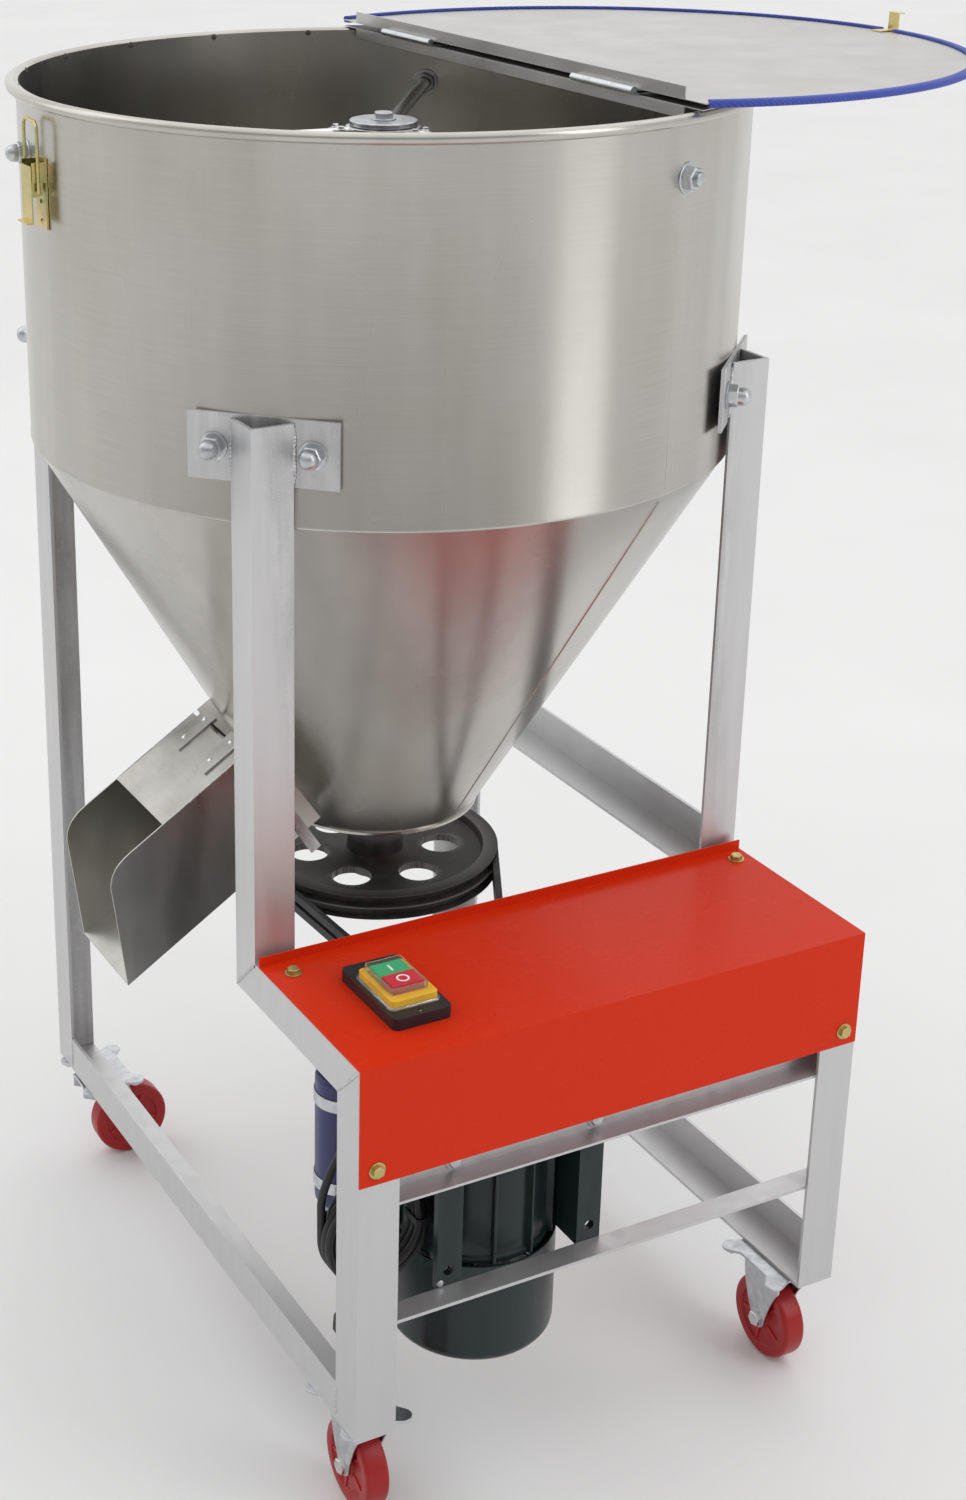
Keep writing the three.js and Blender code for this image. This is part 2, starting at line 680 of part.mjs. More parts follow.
function addChute() {
  const side = new THREE.Shape();
  side.moveTo(SLOT[1], -CHUTE_N);
  side.lineTo(146, -CHUTE_N);
  side.lineTo(94, 40);
  side.quadraticCurveTo(84, CHUTE_N, 48, CHUTE_N);
  side.lineTo(SLOT[1], CHUTE_N);
  side.closePath();
  const raisedSide = alongY(side, [-CHUTE_Y, CHUTE_Y], 8);
  const wall = 2;
  const covered = box([-200, 0], [wall - CHUTE_Y, CHUTE_Y - wall], [wall - CHUTE_N, CHUTE_N - wall]);
  const open = box([-1, 200], [wall - CHUTE_Y, CHUTE_Y - wall], [wall - CHUTE_N, CHUTE_N + 20]);
  const tray = cut(raisedSide, covered, open);
  const tabs = [[19, 49], [-55, -25]].flatMap((y) => [
    box([-134, -76], y, [CHUTE_N + GAP, CHUTE_N + 2.3]),
    box([-112, -76], y, [CHUTE_N - 1, CHUTE_N + 1]),
  ]);
  add("outlet_chute", inChute(join(tray, ...tabs)), "steel");

  const u = (SLOT[0] + SLOT[1]) / 2;
  const plate = box([u - 1, u + 1], [-66, 124], [-60, 60]);
  const grip = box([u - 1, u + 13], [122, 124], [-60, 60]);
  add("discharge_gate", inChute(join(plate, grip)), "bright");
}

// ---- Castors ----

function wheel(centre, axle) {
  const [x, y, z] = centre;
  const rim = WHEEL_R;
  const half = WHEEL_HALF;
  const outline = [
    [6.3, -half - 1],
    [14, -half - 1],
    [15, -half + 3],
    [34, -half + 3],
    [36, -half],
    [rim - 4, -half],
    [rim, -half + 5],
    [rim, half - 5],
    [rim - 4, half],
    [36, half],
    [34, half - 3],
    [15, half - 3],
    [14, half + 1],
    [6.3, half + 1],
  ];
  const body = turned(outline, 24);
  if (axle === "x") body.rotateY(Math.PI / 2);
  else body.rotateX(Math.PI / 2);
  return body.translate(x, y, z);
}

// A fork cheek: wide at the plate, narrow at the axle. Local x is along the travel.
function cheekOutline(reach, top) {
  const shape = new THREE.Shape();
  shape.moveTo(-34, top);
  shape.lineTo(30, top);
  shape.lineTo(30, 108);
  shape.quadraticCurveTo(28 + reach * 0.3, 84, reach + 12, 52);
  shape.absarc(reach, WHEEL_R, 12, 0, -Math.PI, true);
  shape.quadraticCurveTo(reach - 20, 84, -34, 104);
  shape.closePath();
  return shape;
}

// The fork with its axle, made with the wheel rolling along local X and the stem at the origin.
function fork(reach, top) {
  const cheeks = [[-18.5, -16], [16, 18.5]].map((y) => alongY(cheekOutline(reach, top), y, 4));
  const bridge = box([-34, 30], [-18.5, 18.5], [top - 3, top]);
  const axle = roundY(6, [-24, 24], reach, WHEEL_R, 12);
  const nuts = [[-25, -18.5], [18.5, 25]].map((y) => roundY(9.5, y, reach, WHEEL_R, 6));
  return join(...cheeks, bridge, axle, ...nuts);
}

// A mounting plate with four rounded ears; its top is just under the frame.
function castorPlate(z) {
  const ears = [-1, 1].flatMap((x) => [-1, 1].map((y) => round(11, z, 31 * x, 41 * y, 12)));
  const holes = [-1, 1].flatMap((x) => [-1, 1].map((y) => round(4.5, [0, 200], 31 * x, 41 * y, 8)));
  const body = box([-30, 30], [-45, 45], z);
  return cut(join(body, ...ears), ...holes);
}

function addCastors() {
  const plateZ = [FOOT - GAP - 3, FOOT - GAP];
  for (const [side, name] of [[-1, "left"], [1, "right"]]) {
    const rigid = fork(0, plateZ[0] + 1).rotateZ(Math.PI / 2);
    const bracket = join(castorPlate(plateZ), rigid);
    add(`front_${name}_castor_bracket`, bracket.translate(side * CASTOR_X, CASTOR_FRONT_Y, 0), "zinc");
    add(`front_${name}_wheel`, wheel([side * CASTOR_X, CASTOR_FRONT_Y, WHEEL_R], "x"), "wheel");

    const race = round(24, [plateZ[0] - 5, plateZ[0]], 0, 0, 24);
    const plate = join(castorPlate(plateZ), race).translate(side * CASTOR_X, CASTOR_REAR_Y, 0);
    add(`rear_${name}_castor_plate`, plate, "zinc");
    const swivel = join(fork(TRAIL, plateZ[0] - 5 - GAP), round(26, [116, plateZ[0] - 5 - GAP], 0, 0, 24));
    add(`rear_${name}_castor_fork`, swivel.translate(side * CASTOR_X, CASTOR_REAR_Y, 0), "zinc");
    add(`rear_${name}_wheel`, wheel([side * CASTOR_X + TRAIL, CASTOR_REAR_Y, WHEEL_R], "y"), "wheel");
  }
}

// ---- Mains lead: a run down the leg, a coil and the plug ----

const CORD_R = 4.5;
const COIL = { x: -247, y: -466, z: 326, radius: 54, half: 13.8, thick: 9.2 };

// The lead's route from the gland to the coil, and from the coil to the plug.
const LEAD_DOWN = [
  [-232, -464, 547.5],
  [-232, -464, 530],
  [-235, -464, 512],
  [-244, -464, 492],
  [-257, -463, 471],
  [-271, -462, 449],
  [-284, -460, 428],
  [-295, -458.5, 406],
  [-302.5, -457.4, 385],
  [-305.5, -457, 370],
  [-305.7, -457, 361],
];
const LEAD_TAIL = [
  [-276.8, -466, 263.5],
  [-275.5, -466, 254],
  [-275.3, -466, 236],
];

function cordAlong(points, steps) {
  const section = new THREE.Shape().absarc(0, 0, CORD_R, 0, 2 * Math.PI, false);
  return new THREE.ExtrudeGeometry(section, {
    steps,
    curveSegments: 5,
    bevelEnabled: false,
    extrudePath: new THREE.CatmullRomCurve3(points.map((p) => new THREE.Vector3(...p))),
  });
}

function addMainsLead() {
  add("mains_cord", cordAlong(LEAD_DOWN, 16), "black");
  add("mains_cord_tail", cordAlong(LEAD_TAIL, 3), "black");
  const gland = turned([[0, 548], [6.5, 548], [9, 572], [12, 572], [12, 580], [0, 580]], 24);
  add("cord_gland", gland.translate(LEAD_DOWN[0][0], LEAD_DOWN[0][1], 0), "black");
  const { x, y, z, radius, half, thick } = COIL;
  const ring = turned([
    [radius - thick, -half],
    [radius + thick, -half],
    [radius + thick, half],
    [radius - thick, half],
  ], 32);
  add("mains_coil", ring.rotateX(Math.PI / 2).translate(x, y, z), "black");
  const tailEnd = LEAD_TAIL[LEAD_TAIL.length - 1];
  const plug = box([tailEnd[0] - 16, tailEnd[0] + 16], [y - 18, y + 18], [tailEnd[2] - 50, tailEnd[2] - GAP]);
  add("mains_plug", plug, "black");
}

addUprights();
addSideRails();
addFrontRails();
addHopper();
addBearingSpider();
addMixer();
addMotor();
addBelts();
addBeltGuard();
addCapacitors();
addSwitch();
addLid();
addHinges();
addLatch();
addChute();
addCastors();
addMainsLead();

// The origin is moved to the middle of the footprint, at floor level.
const bounds = new THREE.Box3().setFromObject(machine);
const centre = bounds.getCenter(new THREE.Vector3());
machine.position.set(-centre.x, -centre.y, -bounds.min.z);

export default machine;
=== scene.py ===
"""A vertical feed and seed mixer on castors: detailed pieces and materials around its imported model.

Shapes are drawn in machine millimetres, with the hopper's axis on x = y = 0 and the floor at z = 0,
and piece() moves them into the frame in metres.
"""
import math
import random
import bmesh
import bpy
from mathutils import Matrix, Vector


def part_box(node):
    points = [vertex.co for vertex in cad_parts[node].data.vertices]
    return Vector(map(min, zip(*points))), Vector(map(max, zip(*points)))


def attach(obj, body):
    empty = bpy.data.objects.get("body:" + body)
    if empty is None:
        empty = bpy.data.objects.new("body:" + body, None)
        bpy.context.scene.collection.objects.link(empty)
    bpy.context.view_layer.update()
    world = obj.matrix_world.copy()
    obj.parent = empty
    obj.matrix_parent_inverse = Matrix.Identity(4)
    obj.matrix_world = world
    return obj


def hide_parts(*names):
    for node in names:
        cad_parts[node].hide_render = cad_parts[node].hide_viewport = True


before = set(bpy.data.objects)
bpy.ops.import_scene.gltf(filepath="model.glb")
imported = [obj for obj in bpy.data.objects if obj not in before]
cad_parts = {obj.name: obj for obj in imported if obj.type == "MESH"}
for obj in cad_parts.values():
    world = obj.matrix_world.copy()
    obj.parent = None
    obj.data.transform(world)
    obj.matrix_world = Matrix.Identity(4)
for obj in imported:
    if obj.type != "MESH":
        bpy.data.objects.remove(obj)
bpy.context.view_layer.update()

MM = 0.001
BEVEL_ANGLE = math.radians(30)
shaft_low, shaft_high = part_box("mixer_shaft")
AXIS = Vector(((shaft_low.x + shaft_high.x) / 2, (shaft_low.y + shaft_high.y) / 2, 0))


def limits(node):
    """A CAD node's lowest and highest corners in machine millimetres."""
    return [(corner - AXIS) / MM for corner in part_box(node)]


def to_frame(point):
    return AXIS + Vector(point) * MM


# ---- Driving sizes, in machine millimetres ----

SHELL_HIGH = limits("hopper_shell")[1]
BEAD_R = 6
RIM_TOP = SHELL_HIGH.z
HOPPER_R = SHELL_HIGH.x - 2 * BEAD_R
WALL = 2
CONE_TOP = 1059
CONE_FOOT = 589
CONE_FOOT_R = 122.6
ROD_ANGLES = (-69, 54, 173)
ROD_Z = 1388
SEAM_ANGLE = -70
SPOT_WELDS = 20
SPOT_START = 75.5

HALF = 311
FRONT = -549
ANGLE = 47
IRON = 4
FOOT = 130
SHELF = 580
PLATE_FACE = 404.3
PLATE_BOLT_Z = 1138
PLATE_BOLT_SIDE = 52

SHAFT_R = 15
PULLEY_R = 152
MOTOR_PULLEY_R = 38
PULLEY_Z = (489, 519)
GROOVES = (496.5, 511.5)
GROOVE_DEPTH = 9
BARREL_R = 83
COWL_R = 93
PULLEY_HOLES = 6
HOLE_CIRCLE_R = 82
HOLE_R = 24
motor_low, motor_high = limits("motor_fan_cover")
MOTOR = (motor_low + motor_high) / 2

HINGE_X = 145
LID_R = 411
SHEET = 1.2
AUGER_PITCH = 150
AUGER_Z = (606, 1330)
AUGER_R = 82
AUGER_STEPS = 72
FLANGE_HALF = 352

CHUTE_TILT = math.radians(33)
CHUTE_ORIGIN = Vector((-275.4, 0, 580.1))
CHUTE_N = 69
CHUTE_Y = 70

SWITCH = Vector((-212, -441, SHELF + 2.1))
GUARD_FACE_Y = limits("belt_guard")[0].y

CORD_R = 4.5
COIL_CENTRE = Vector((-247, -466, 326))
WHEEL_R = 50
WHEEL_HALF = 14
CASTOR_X = 276
CASTOR_FRONT_Y = -488
CASTOR_REAR_Y = 248
TRAIL = 36
EAR_X = 31
EAR_Y = 41
SIDES = ((-1, "left"), (1, "right"))
CORNERS = [(sx, sy, f"{front_rear}_{left_right}")
           for sx, left_right in SIDES for sy, front_rear in ((-1, "front"), (1, "rear"))]
FLIPPED = Matrix.Rotation(math.pi, 4, "X")


# ---- Camera ----

def add_camera():
    camera = bpy.data.objects.new("camera", bpy.data.cameras.new("camera"))
    bpy.context.collection.objects.link(camera)
    right = Vector((0.88890336, -0.45806477, 0.00524266))
    up = Vector((0.15908695, 0.31940994, 0.93416735))
    forward = Vector((0.4295837, 0.82955046, -0.3567967))
    turn = Matrix((right, up, -forward)).transposed().to_4x4()
    camera.matrix_world = Matrix.Translation(to_frame((-1231.02, -2274.08, 1807.88))) @ turn
    camera.data.sensor_width = 36
    camera.data.lens = 55.718
    camera.data.shift_x = 0.09677
    camera.data.shift_y = -0.09192
    camera.data.clip_end = 100
    bpy.context.scene.camera = camera


# ---- Shapes ----

def moved(x=0, y=0, z=0):
    return Matrix.Translation((x, y, z))


def turned_z(degrees):
    return Matrix.Rotation(math.radians(degrees), 4, "Z")


def around(radius, degrees, z=0):
    """The point on a circle round the hopper's axis."""
    a = math.radians(degrees)
    return Vector((radius * math.cos(a), radius * math.sin(a), z))


def facing(point, direction):
    """A place whose local Z points along direction."""
    turn = Vector((0, 0, 1)).rotation_difference(Vector(direction).normalized())
    return Matrix.Translation(point) @ turn.to_matrix().to_4x4()


def in_chute():
    """From the chute's own (u, y, n) to the machine: u runs down it, n stands square on its cover."""
    down = Vector((-math.cos(CHUTE_TILT), 0, -math.sin(CHUTE_TILT)))
    normal = Vector((-math.sin(CHUTE_TILT), 0, math.cos(CHUTE_TILT)))
    turn = Matrix((down, normal.cross(down), normal)).transposed().to_4x4()
    return Matrix.Translation(CHUTE_ORIGIN) @ turn


def join_rings(bm, rings, closed_around=True, closed_along=False):
    """Faces between neighbouring rings of vertices; a ring of one vertex is a tip."""
    pairs = list(zip(rings, rings[1:]))
    if closed_along:
        pairs.append((rings[-1], rings[0]))
    for a, b in pairs:
        count = max(len(a), len(b))
        for i in range(count if closed_around else count - 1):
            j = (i + 1) % count
            corners = [a[i % len(a)], a[j % len(a)], b[j % len(b)], b[i % len(b)]]
            unique = list(dict.fromkeys(corners))
            if len(unique) > 2:
                bm.faces.new(unique)


def lathe(bm, profile, sides=96, place=Matrix(), closed=False, span=(0, 360)):
    """An (r, z) profile turned about Z, all the way round or over part of a turn."""
    full = span[1] - span[0] >= 360
    steps = sides if full else sides + 1
    angles = [math.radians(span[0] + (span[1] - span[0]) * i / sides) for i in range(steps)]
    rings = []
    for r, z in profile:
        if r < 1e-6:
            rings.append([bm.verts.new(place @ Vector((0, 0, z)))])
            continue
        rings.append([bm.verts.new(place @ Vector((r * math.cos(a), r * math.sin(a), z)))
                      for a in angles])
    join_rings(bm, rings, closed_around=full, closed_along=closed)
    if not full:
        bm.faces.new([ring[0] for ring in rings])
        bm.faces.new([ring[-1] for ring in reversed(rings)])


def prism(bm, outline, low, high, place=Matrix(), shrink=0.0):
    """An (x, y) outline raised from low to high; shrink pulls its top in towards its middle."""
    middle = sum((Vector(p) for p in outline), Vector((0, 0))) / len(outline)
    top = [middle + (Vector(p) - middle) * (1 - shrink) for p in outline]
    a = [bm.verts.new(place @ Vector((x, y, low))) for x, y in outline]
    b = [bm.verts.new(place @ Vector((x, y, high))) for x, y in top]
    bm.faces.new(list(reversed(a)))
    bm.faces.new(b)
    for i in range(len(a)):
        j = (i + 1) % len(a)
        bm.faces.new((a[i], a[j], b[j], b[i]))


def stack(bm, place, levels, closed=False):
    """Outlines of as many points each, at their heights, joined one to the next."""
    rings = [[bm.verts.new(place @ Vector((x, y, z))) for x, y in outline] for outline, z in levels]
    join_rings(bm, rings, closed_along=closed)
    return rings


def block(bm, x, y, z, place=Matrix()):
    prism(bm, [(x[0], y[0]), (x[1], y[0]), (x[1], y[1]), (x[0], y[1])], z[0], z[1], place)


def arc(centre, radius, start, end, steps):
    return [(centre[0] + radius * math.cos(math.radians(start + (end - start) * i / steps)),
             centre[1] + radius * math.sin(math.radians(start + (end - start) * i / steps)))
            for i in range(steps + 1)]


def polygon(radius, sides, start=0.0):
    return arc((0, 0), radius, start, start + 360, sides)[:-1]


def rounded_outline(half_x, half_y, corner, steps=6):
    points = []
    for k, (sx, sy) in enumerate(((1, 1), (-1, 1), (-1, -1), (1, -1))):
        centre = (sx * (half_x - corner), sy * (half_y - corner))
        points += arc(centre, corner, 90 * k, 90 * k + 90, steps)
    return points


def tube(bm, points, radius, sides):
    """A round bar along points; radius is one number or one per point."""
    points = [Vector(p) for p in points]
    radii = radius if isinstance(radius, list) else [radius] * len(points)
    rings = []
    normal = None
    for i, point in enumerate(points):
        tangent = (points[min(i + 1, len(points) - 1)] - points[max(i - 1, 0)]).normalized()
        if normal is None:
            normal = tangent.orthogonal().normalized()
        normal = (normal - tangent * normal.dot(tangent)).normalized()
        side = tangent.cross(normal)
        rings.append([bm.verts.new(point + (normal * math.cos(a) + side * math.sin(a)) * radii[i])
                      for a in (2 * math.pi * k / sides for k in range(sides))])
    join_rings(bm, rings)
    bm.faces.new(list(reversed(rings[0])))
    bm.faces.new(rings[-1])


def ball(bm, centre, radius, flatten=1.0, direction=(0, 0, 1)):
    """A low dome or a whole ball, such as a rivet's head."""
    place = facing(centre, direction)
    profile = [(radius * math.cos(a), radius * flatten * math.sin(a))
               for a in (math.radians(-90 + 180 * i / 10) for i in range(11))]
    profile[0] = (0, -radius * flatten)
    profile[-1] = (0, radius * flatten)
    lathe(bm, profile, 20, place)


# ---- Pieces ----

def mesh_of(name, bm):
    bmesh.ops.recalc_face_normals(bm, faces=bm.faces)
    if bm.calc_volume(signed=True) < 0:
        bmesh.ops.reverse_faces(bm, faces=bm.faces)
    mesh = bpy.data.meshes.new(name)
    bm.to_mesh(mesh)
    bm.free()
    return mesh


def place_mesh(mesh):
    mesh.transform(Matrix.Translation(AXIS) @ Matrix.Scale(MM, 4))


def soften(obj, width):
    """A small round on every edge sharper than BEVEL_ANGLE."""
    bevel = obj.modifiers.new("edges", "BEVEL")
    bevel.width = width * MM
    bevel.segments = 2
    bevel.limit_method = "ANGLE"
    bevel.angle_limit = BEVEL_ANGLE
    bevel.harden_normals = False


def piece(name, bm, slot, body="frame", replaces=(), edge=0.0, sharp=38, look=None):
    """Makes one piece from a shape in machine millimetres, with its material, and rides it."""
    mesh = mesh_of(name, bm)
    place_mesh(mesh)
    mesh.polygons.foreach_set("use_smooth", [True] * len(mesh.polygons))
    mesh.set_sharp_from_angle(angle=math.radians(sharp))
    obj = bpy.data.objects.new(name, mesh)
    bpy.context.collection.objects.link(obj)
    mesh.materials.append(LOOKS[look or slot])
    if edge:
        soften(obj, edge)
    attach(obj, body)
    if replaces:
        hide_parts(*replaces)
    return obj


def boolean(bm, tool, operation="DIFFERENCE"):
    """bm cut by, joined to or kept inside tool, as a new shape."""
    objects = [bpy.data.objects.new(label, mesh_of(label, part))
               for label, part in (("carve_base", bm), ("carve_tool", tool))]
    for obj in objects:
        bpy.context.collection.objects.link(obj)
    modifier = objects[0].modifiers.new("carve", "BOOLEAN")
    modifier.operation = operation
    modifier.solver = "MANIFOLD"
    modifier.object = objects[1]
    bpy.context.view_layer.update()
    evaluated = objects[0].evaluated_get(bpy.context.evaluated_depsgraph_get())
    result = bmesh.new()
    result.from_mesh(evaluated.to_mesh())
    evaluated.to_mesh_clear()
    for obj in objects:
        mesh = obj.data
        bpy.data.objects.remove(obj)
        bpy.data.meshes.remove(mesh)
    bmesh.ops.dissolve_degenerate(result, edges=result.edges, dist=1e-4)
    return result


# ---- Materials ----

def link(tree, source, target):
    tree.links.new(source, target)


def noise(tree, stretch, scale, detail=4.0, roughness=0.55):
    """Noise in the piece's own space, stretched along an axis by a small number in stretch."""
    place = tree.nodes.new("ShaderNodeTexCoord")
    mapping = tree.nodes.new("ShaderNodeMapping")
    mapping.inputs["Scale"].default_value = stretch
    texture = tree.nodes.new("ShaderNodeTexNoise")
    texture.inputs["Scale"].default_value = scale
    texture.inputs["Detail"].default_value = detail
    texture.inputs["Roughness"].default_value = roughness
    link(tree, place.outputs["Object"], mapping.inputs["Vector"])
    link(tree, mapping.outputs["Vector"], texture.inputs["Vector"])
    return texture.outputs["Fac"]


def spread(tree, value, low, high, start=0.3, end=0.7):
    """value, from start to end, becomes low to high."""
    node = tree.nodes.new("ShaderNodeMapRange")
    for label, number in (("From Min", start), ("From Max", end), ("To Min", low), ("To Max", high)):
        node.inputs[label].default_value = number
    link(tree, value, node.inputs["Value"])
    return node.outputs["Result"]


def mix(tree, factor, a, b):
    node = tree.nodes.new("ShaderNodeMix")
    node.data_type = "RGBA"
    for socket, value in ((node.inputs[0], factor), (node.inputs[6], a), (node.inputs[7], b)):
        if isinstance(value, bpy.types.NodeSocket):
            link(tree, value, socket)
        elif isinstance(value, (int, float)):
            socket.default_value = value
        else:
            socket.default_value = (*value, 1)
    return node.outputs[2]


def shade(colour, amount):
    return tuple(min(1, channel * amount) for channel in colour)


def worn_edges(tree, start=0.53, end=0.6):
    geometry = tree.nodes.new("ShaderNodeNewGeometry")
    return spread(tree, geometry.outputs["Pointiness"], 0, 1, start, end)


def bump(tree, shader, heights, strength, distance=0.0004):
    node = tree.nodes.new("ShaderNodeBump")
    node.inputs["Strength"].default_value = strength
    node.inputs["Distance"].default_value = distance
    link(tree, heights, node.inputs["Height"])
    link(tree, node.outputs["Normal"], shader.inputs["Normal"])


def surface(tree, shader, colour, rough):
    """Links the base colour and the roughness."""
    link(tree, colour, shader.inputs["Base Color"])
    link(tree, rough, shader.inputs["Roughness"])


def new_look(name, metallic, specular=0.5, coat=0.0, coat_roughness=0.1):
    material = bpy.data.materials.new(name)
    material.use_nodes = True
    shader = material.node_tree.nodes["Principled BSDF"]
    shader.inputs["Metallic"].default_value = metallic
    shader.inputs["Specular IOR Level"].default_value = specular
    shader.inputs["Coat Weight"].default_value = coat
    shader.inputs["Coat Roughness"].default_value = coat_roughness
    return material, material.node_tree, shader


def sheet_steel(name, colour, rough, anisotropy=0.0, mottle=0.12, scale=5):
    """Rolled stainless sheet: cloudy patches, soft upright banding that is partly rolling tone and partly
    painted studio reflection, fine brushing round the sheet.
    """
    material, tree, shader = new_look(name, 1.0)
    clouds = noise(tree, (1, 1, 0.5), scale, 3)
    # Upright banding darkened towards shade(colour, 0.80): partly the sheet's rolling tone, partly painted
    # reflection of light and dark studio zones.
    rolling_and_reflection_bands = noise(tree, (1, 1, 0.04), 14, 3)
    brushing = noise(tree, (2, 2, 160), 6, 6, 0.7)
    warm = mix(tree, spread(tree, clouds, 0, 1), shade(colour, 1 - mottle), shade(colour, 1 + mottle))
    rolling_and_reflection_banded = mix(tree, spread(tree, rolling_and_reflection_bands, 0, 0.75), warm, shade(colour, 0.80))
    lined = mix(tree, spread(tree, brushing, 0, 0.30), rolling_and_reflection_banded, shade(colour, 1.25))
    stains = noise(tree, (1, 1, 0.7), scale * 1.3, 2)
    stained = mix(tree, spread(tree, stains, 0, 0.3, 0.5, 0.75), lined,
                  (colour[0] * 0.84, colour[1] * 0.78, colour[2] * 0.66))
    patches = noise(tree, (1, 1, 0.3), scale * 1.7, 2)
    surface(tree, shader, stained, spread(tree, patches, rough * 0.88, rough * 1.15))
    if anisotropy:
        shader.inputs["Anisotropic"].default_value = anisotropy
        shader.inputs["Anisotropic Rotation"].default_value = 0.25
        tangent = tree.nodes.new("ShaderNodeTangent")
        tangent.direction_type = "RADIAL"
        tangent.axis = "Z"
        link(tree, tangent.outputs["Tangent"], shader.inputs["Tangent"])
    bump(tree, shader, brushing, 0.05)
    return material


def plated_metal(name, colour, rough, tint=None):
    """Zinc-plated or polished metal; a tint adds the shifting colours of yellow passivation."""
    material, tree, shader = new_look(name, 1.0)
    spangle = noise(tree, (1, 1, 1), 90, 5)
    base = mix(tree, spread(tree, spangle, 0, 1), shade(colour, 0.78), shade(colour, 1.15))
    if tint:
        film = noise(tree, (1, 1, 1), 35, 2)
        base = mix(tree, spread(tree, film, 0, 0.75, 0.42, 0.62), base, tint)
    edges = mix(tree, worn_edges(tree), base, shade(colour, 1.3))
    scuffs = noise(tree, (1, 1, 1), 160, 6)
    surface(tree, shader, edges, spread(tree, scuffs, rough * 0.75, rough * 1.3))
    bump(tree, shader, scuffs, 0.12)
    return material


def silver_paint():
    """Sprayed aluminium paint over mill scale: streaks along the iron, scratches and bright edges."""
    colour = (0.58, 0.58, 0.587)
    material, tree, shader = new_look("silver_paint", 0.75, 0.4)
    streaks = noise(tree, (3, 3, 0.25), 22, 6)
    patches = noise(tree, (1, 1, 1), 9, 5)
    specks = noise(tree, (1, 1, 1), 420, 2)
    base = mix(tree, spread(tree, streaks, 0, 1), shade(colour, 0.74), shade(colour, 1.18))
    base = mix(tree, spread(tree, patches, 0, 0.5, 0.45, 0.7), base, shade(colour, 0.70))
    base = mix(tree, spread(tree, specks, 0, 0.35, 0.55, 0.72), base, shade(colour, 1.35))
    base = mix(tree, worn_edges(tree), base, (0.62, 0.62, 0.63))
    surface(tree, shader, base, spread(tree, streaks, 0.34, 0.50))
    bump(tree, shader, noise(tree, (2, 2, 0.4), 90, 8, 0.7), 0.35, 0.0005)
    return material


def gloss_paint(name, colour, rough, coat, peel, dust=None, specular=0.5):
    """Gloss enamel or powder coat: orange peel, faint scuffs and darker or dusty patches."""
    material, tree, shader = new_look(name, 0.0, specular, coat, 0.12)
    patches = noise(tree, (1, 1, 1), 6, 5)
    base = mix(tree, spread(tree, patches, 0, 1), shade(colour, 0.94), shade(colour, 1.05))
    if dust:
        film = noise(tree, (1, 1, 0.6), 24, 8, 0.7)
        base = mix(tree, spread(tree, film, 0, 0.5, 0.52, 0.75), base, dust)
    base = mix(tree, worn_edges(tree), base, shade(colour, 1.45))
    scuffs = noise(tree, (1, 1, 1), 14, 4)
    surface(tree, shader, base, spread(tree, scuffs, rough * 0.85, rough * 1.2))
    bump(tree, shader, noise(tree, (1, 1, 1), 260, 3), peel)
    return material


def moulded(name, colour, rough, grain=350, strength=0.15):
    """Moulded plastic or rubber with a fine grain and slight rubbing."""
    material, tree, shader = new_look(name, 0.0)
    rubbed = noise(tree, (1, 1, 1), 40, 6)
    base = mix(tree, spread(tree, rubbed, 0, 1), shade(colour, 0.82), shade(colour, 1.2))
    base = mix(tree, worn_edges(tree, 0.54, 0.64), base, shade(colour, 1.6))
    surface(tree, shader, base, spread(tree, rubbed, rough * 0.85, rough * 1.15))
    bump(tree, shader, noise(tree, (1, 1, 1), grain, 4), strength)
    return material


def braided_trim():
    """The blue lid trim: slanting ribs of a woven sleeve over rubber."""
    colour = (0.036, 0.062, 0.36)
    material, tree, shader = new_look("seal_blue", 0.0, 0.35)
    place = tree.nodes.new("ShaderNodeTexCoord")
    ribs = tree.nodes.new("ShaderNodeTexWave")
    ribs.wave_type = "BANDS"
    ribs.bands_direction = "DIAGONAL"
    ribs.inputs["Scale"].default_value = 130
    ribs.inputs["Distortion"].default_value = 1.5
    link(tree, place.outputs["Object"], ribs.inputs["Vector"])
    base = mix(tree, ribs.outputs["Fac"], shade(colour, 0.7), shade(colour, 1.35))
    fade = noise(tree, (1, 1, 1), 14, 5)
    base = mix(tree, spread(tree, fade, 0, 0.5), base, (0.075, 0.12, 0.50))
    link(tree, base, shader.inputs["Base Color"])
    shader.inputs["Roughness"].default_value = 0.55
    bump(tree, shader, ribs.outputs["Fac"], 0.5, 0.0006)
    return material


def cast_iron():
    colour = (0.060, 0.056, 0.055)
    material, tree, shader = new_look("dark_iron", 0.55)
    crust = noise(tree, (1, 1, 1), 60, 8, 0.7)
    base = mix(tree, spread(tree, crust, 0, 1), shade(colour, 0.6), shade(colour, 1.6))
    rust = noise(tree, (1, 1, 1), 18, 7)
    base = mix(tree, spread(tree, rust, 0, 0.5, 0.55, 0.75), base, (0.12, 0.075, 0.05))
    base = mix(tree, worn_edges(tree), base, (0.30, 0.29, 0.28))
    surface(tree, shader, base, spread(tree, crust, 0.42, 0.68))
    bump(tree, shader, noise(tree, (1, 1, 1), 240, 6), 0.35, 0.0006)
    return material


def clear_plastic():
    material, tree, shader = new_look("clear_cover", 0.0, 0.5)
    haze = noise(tree, (1, 1, 1), 60, 5)
    link(tree, spread(tree, haze, 0.08, 0.22), shader.inputs["Roughness"])
    shader.inputs["Base Color"].default_value = (0.95, 0.93, 0.90, 1)
    shader.inputs["Transmission Weight"].default_value = 0.92
    shader.inputs["IOR"].default_value = 1.45
    return material


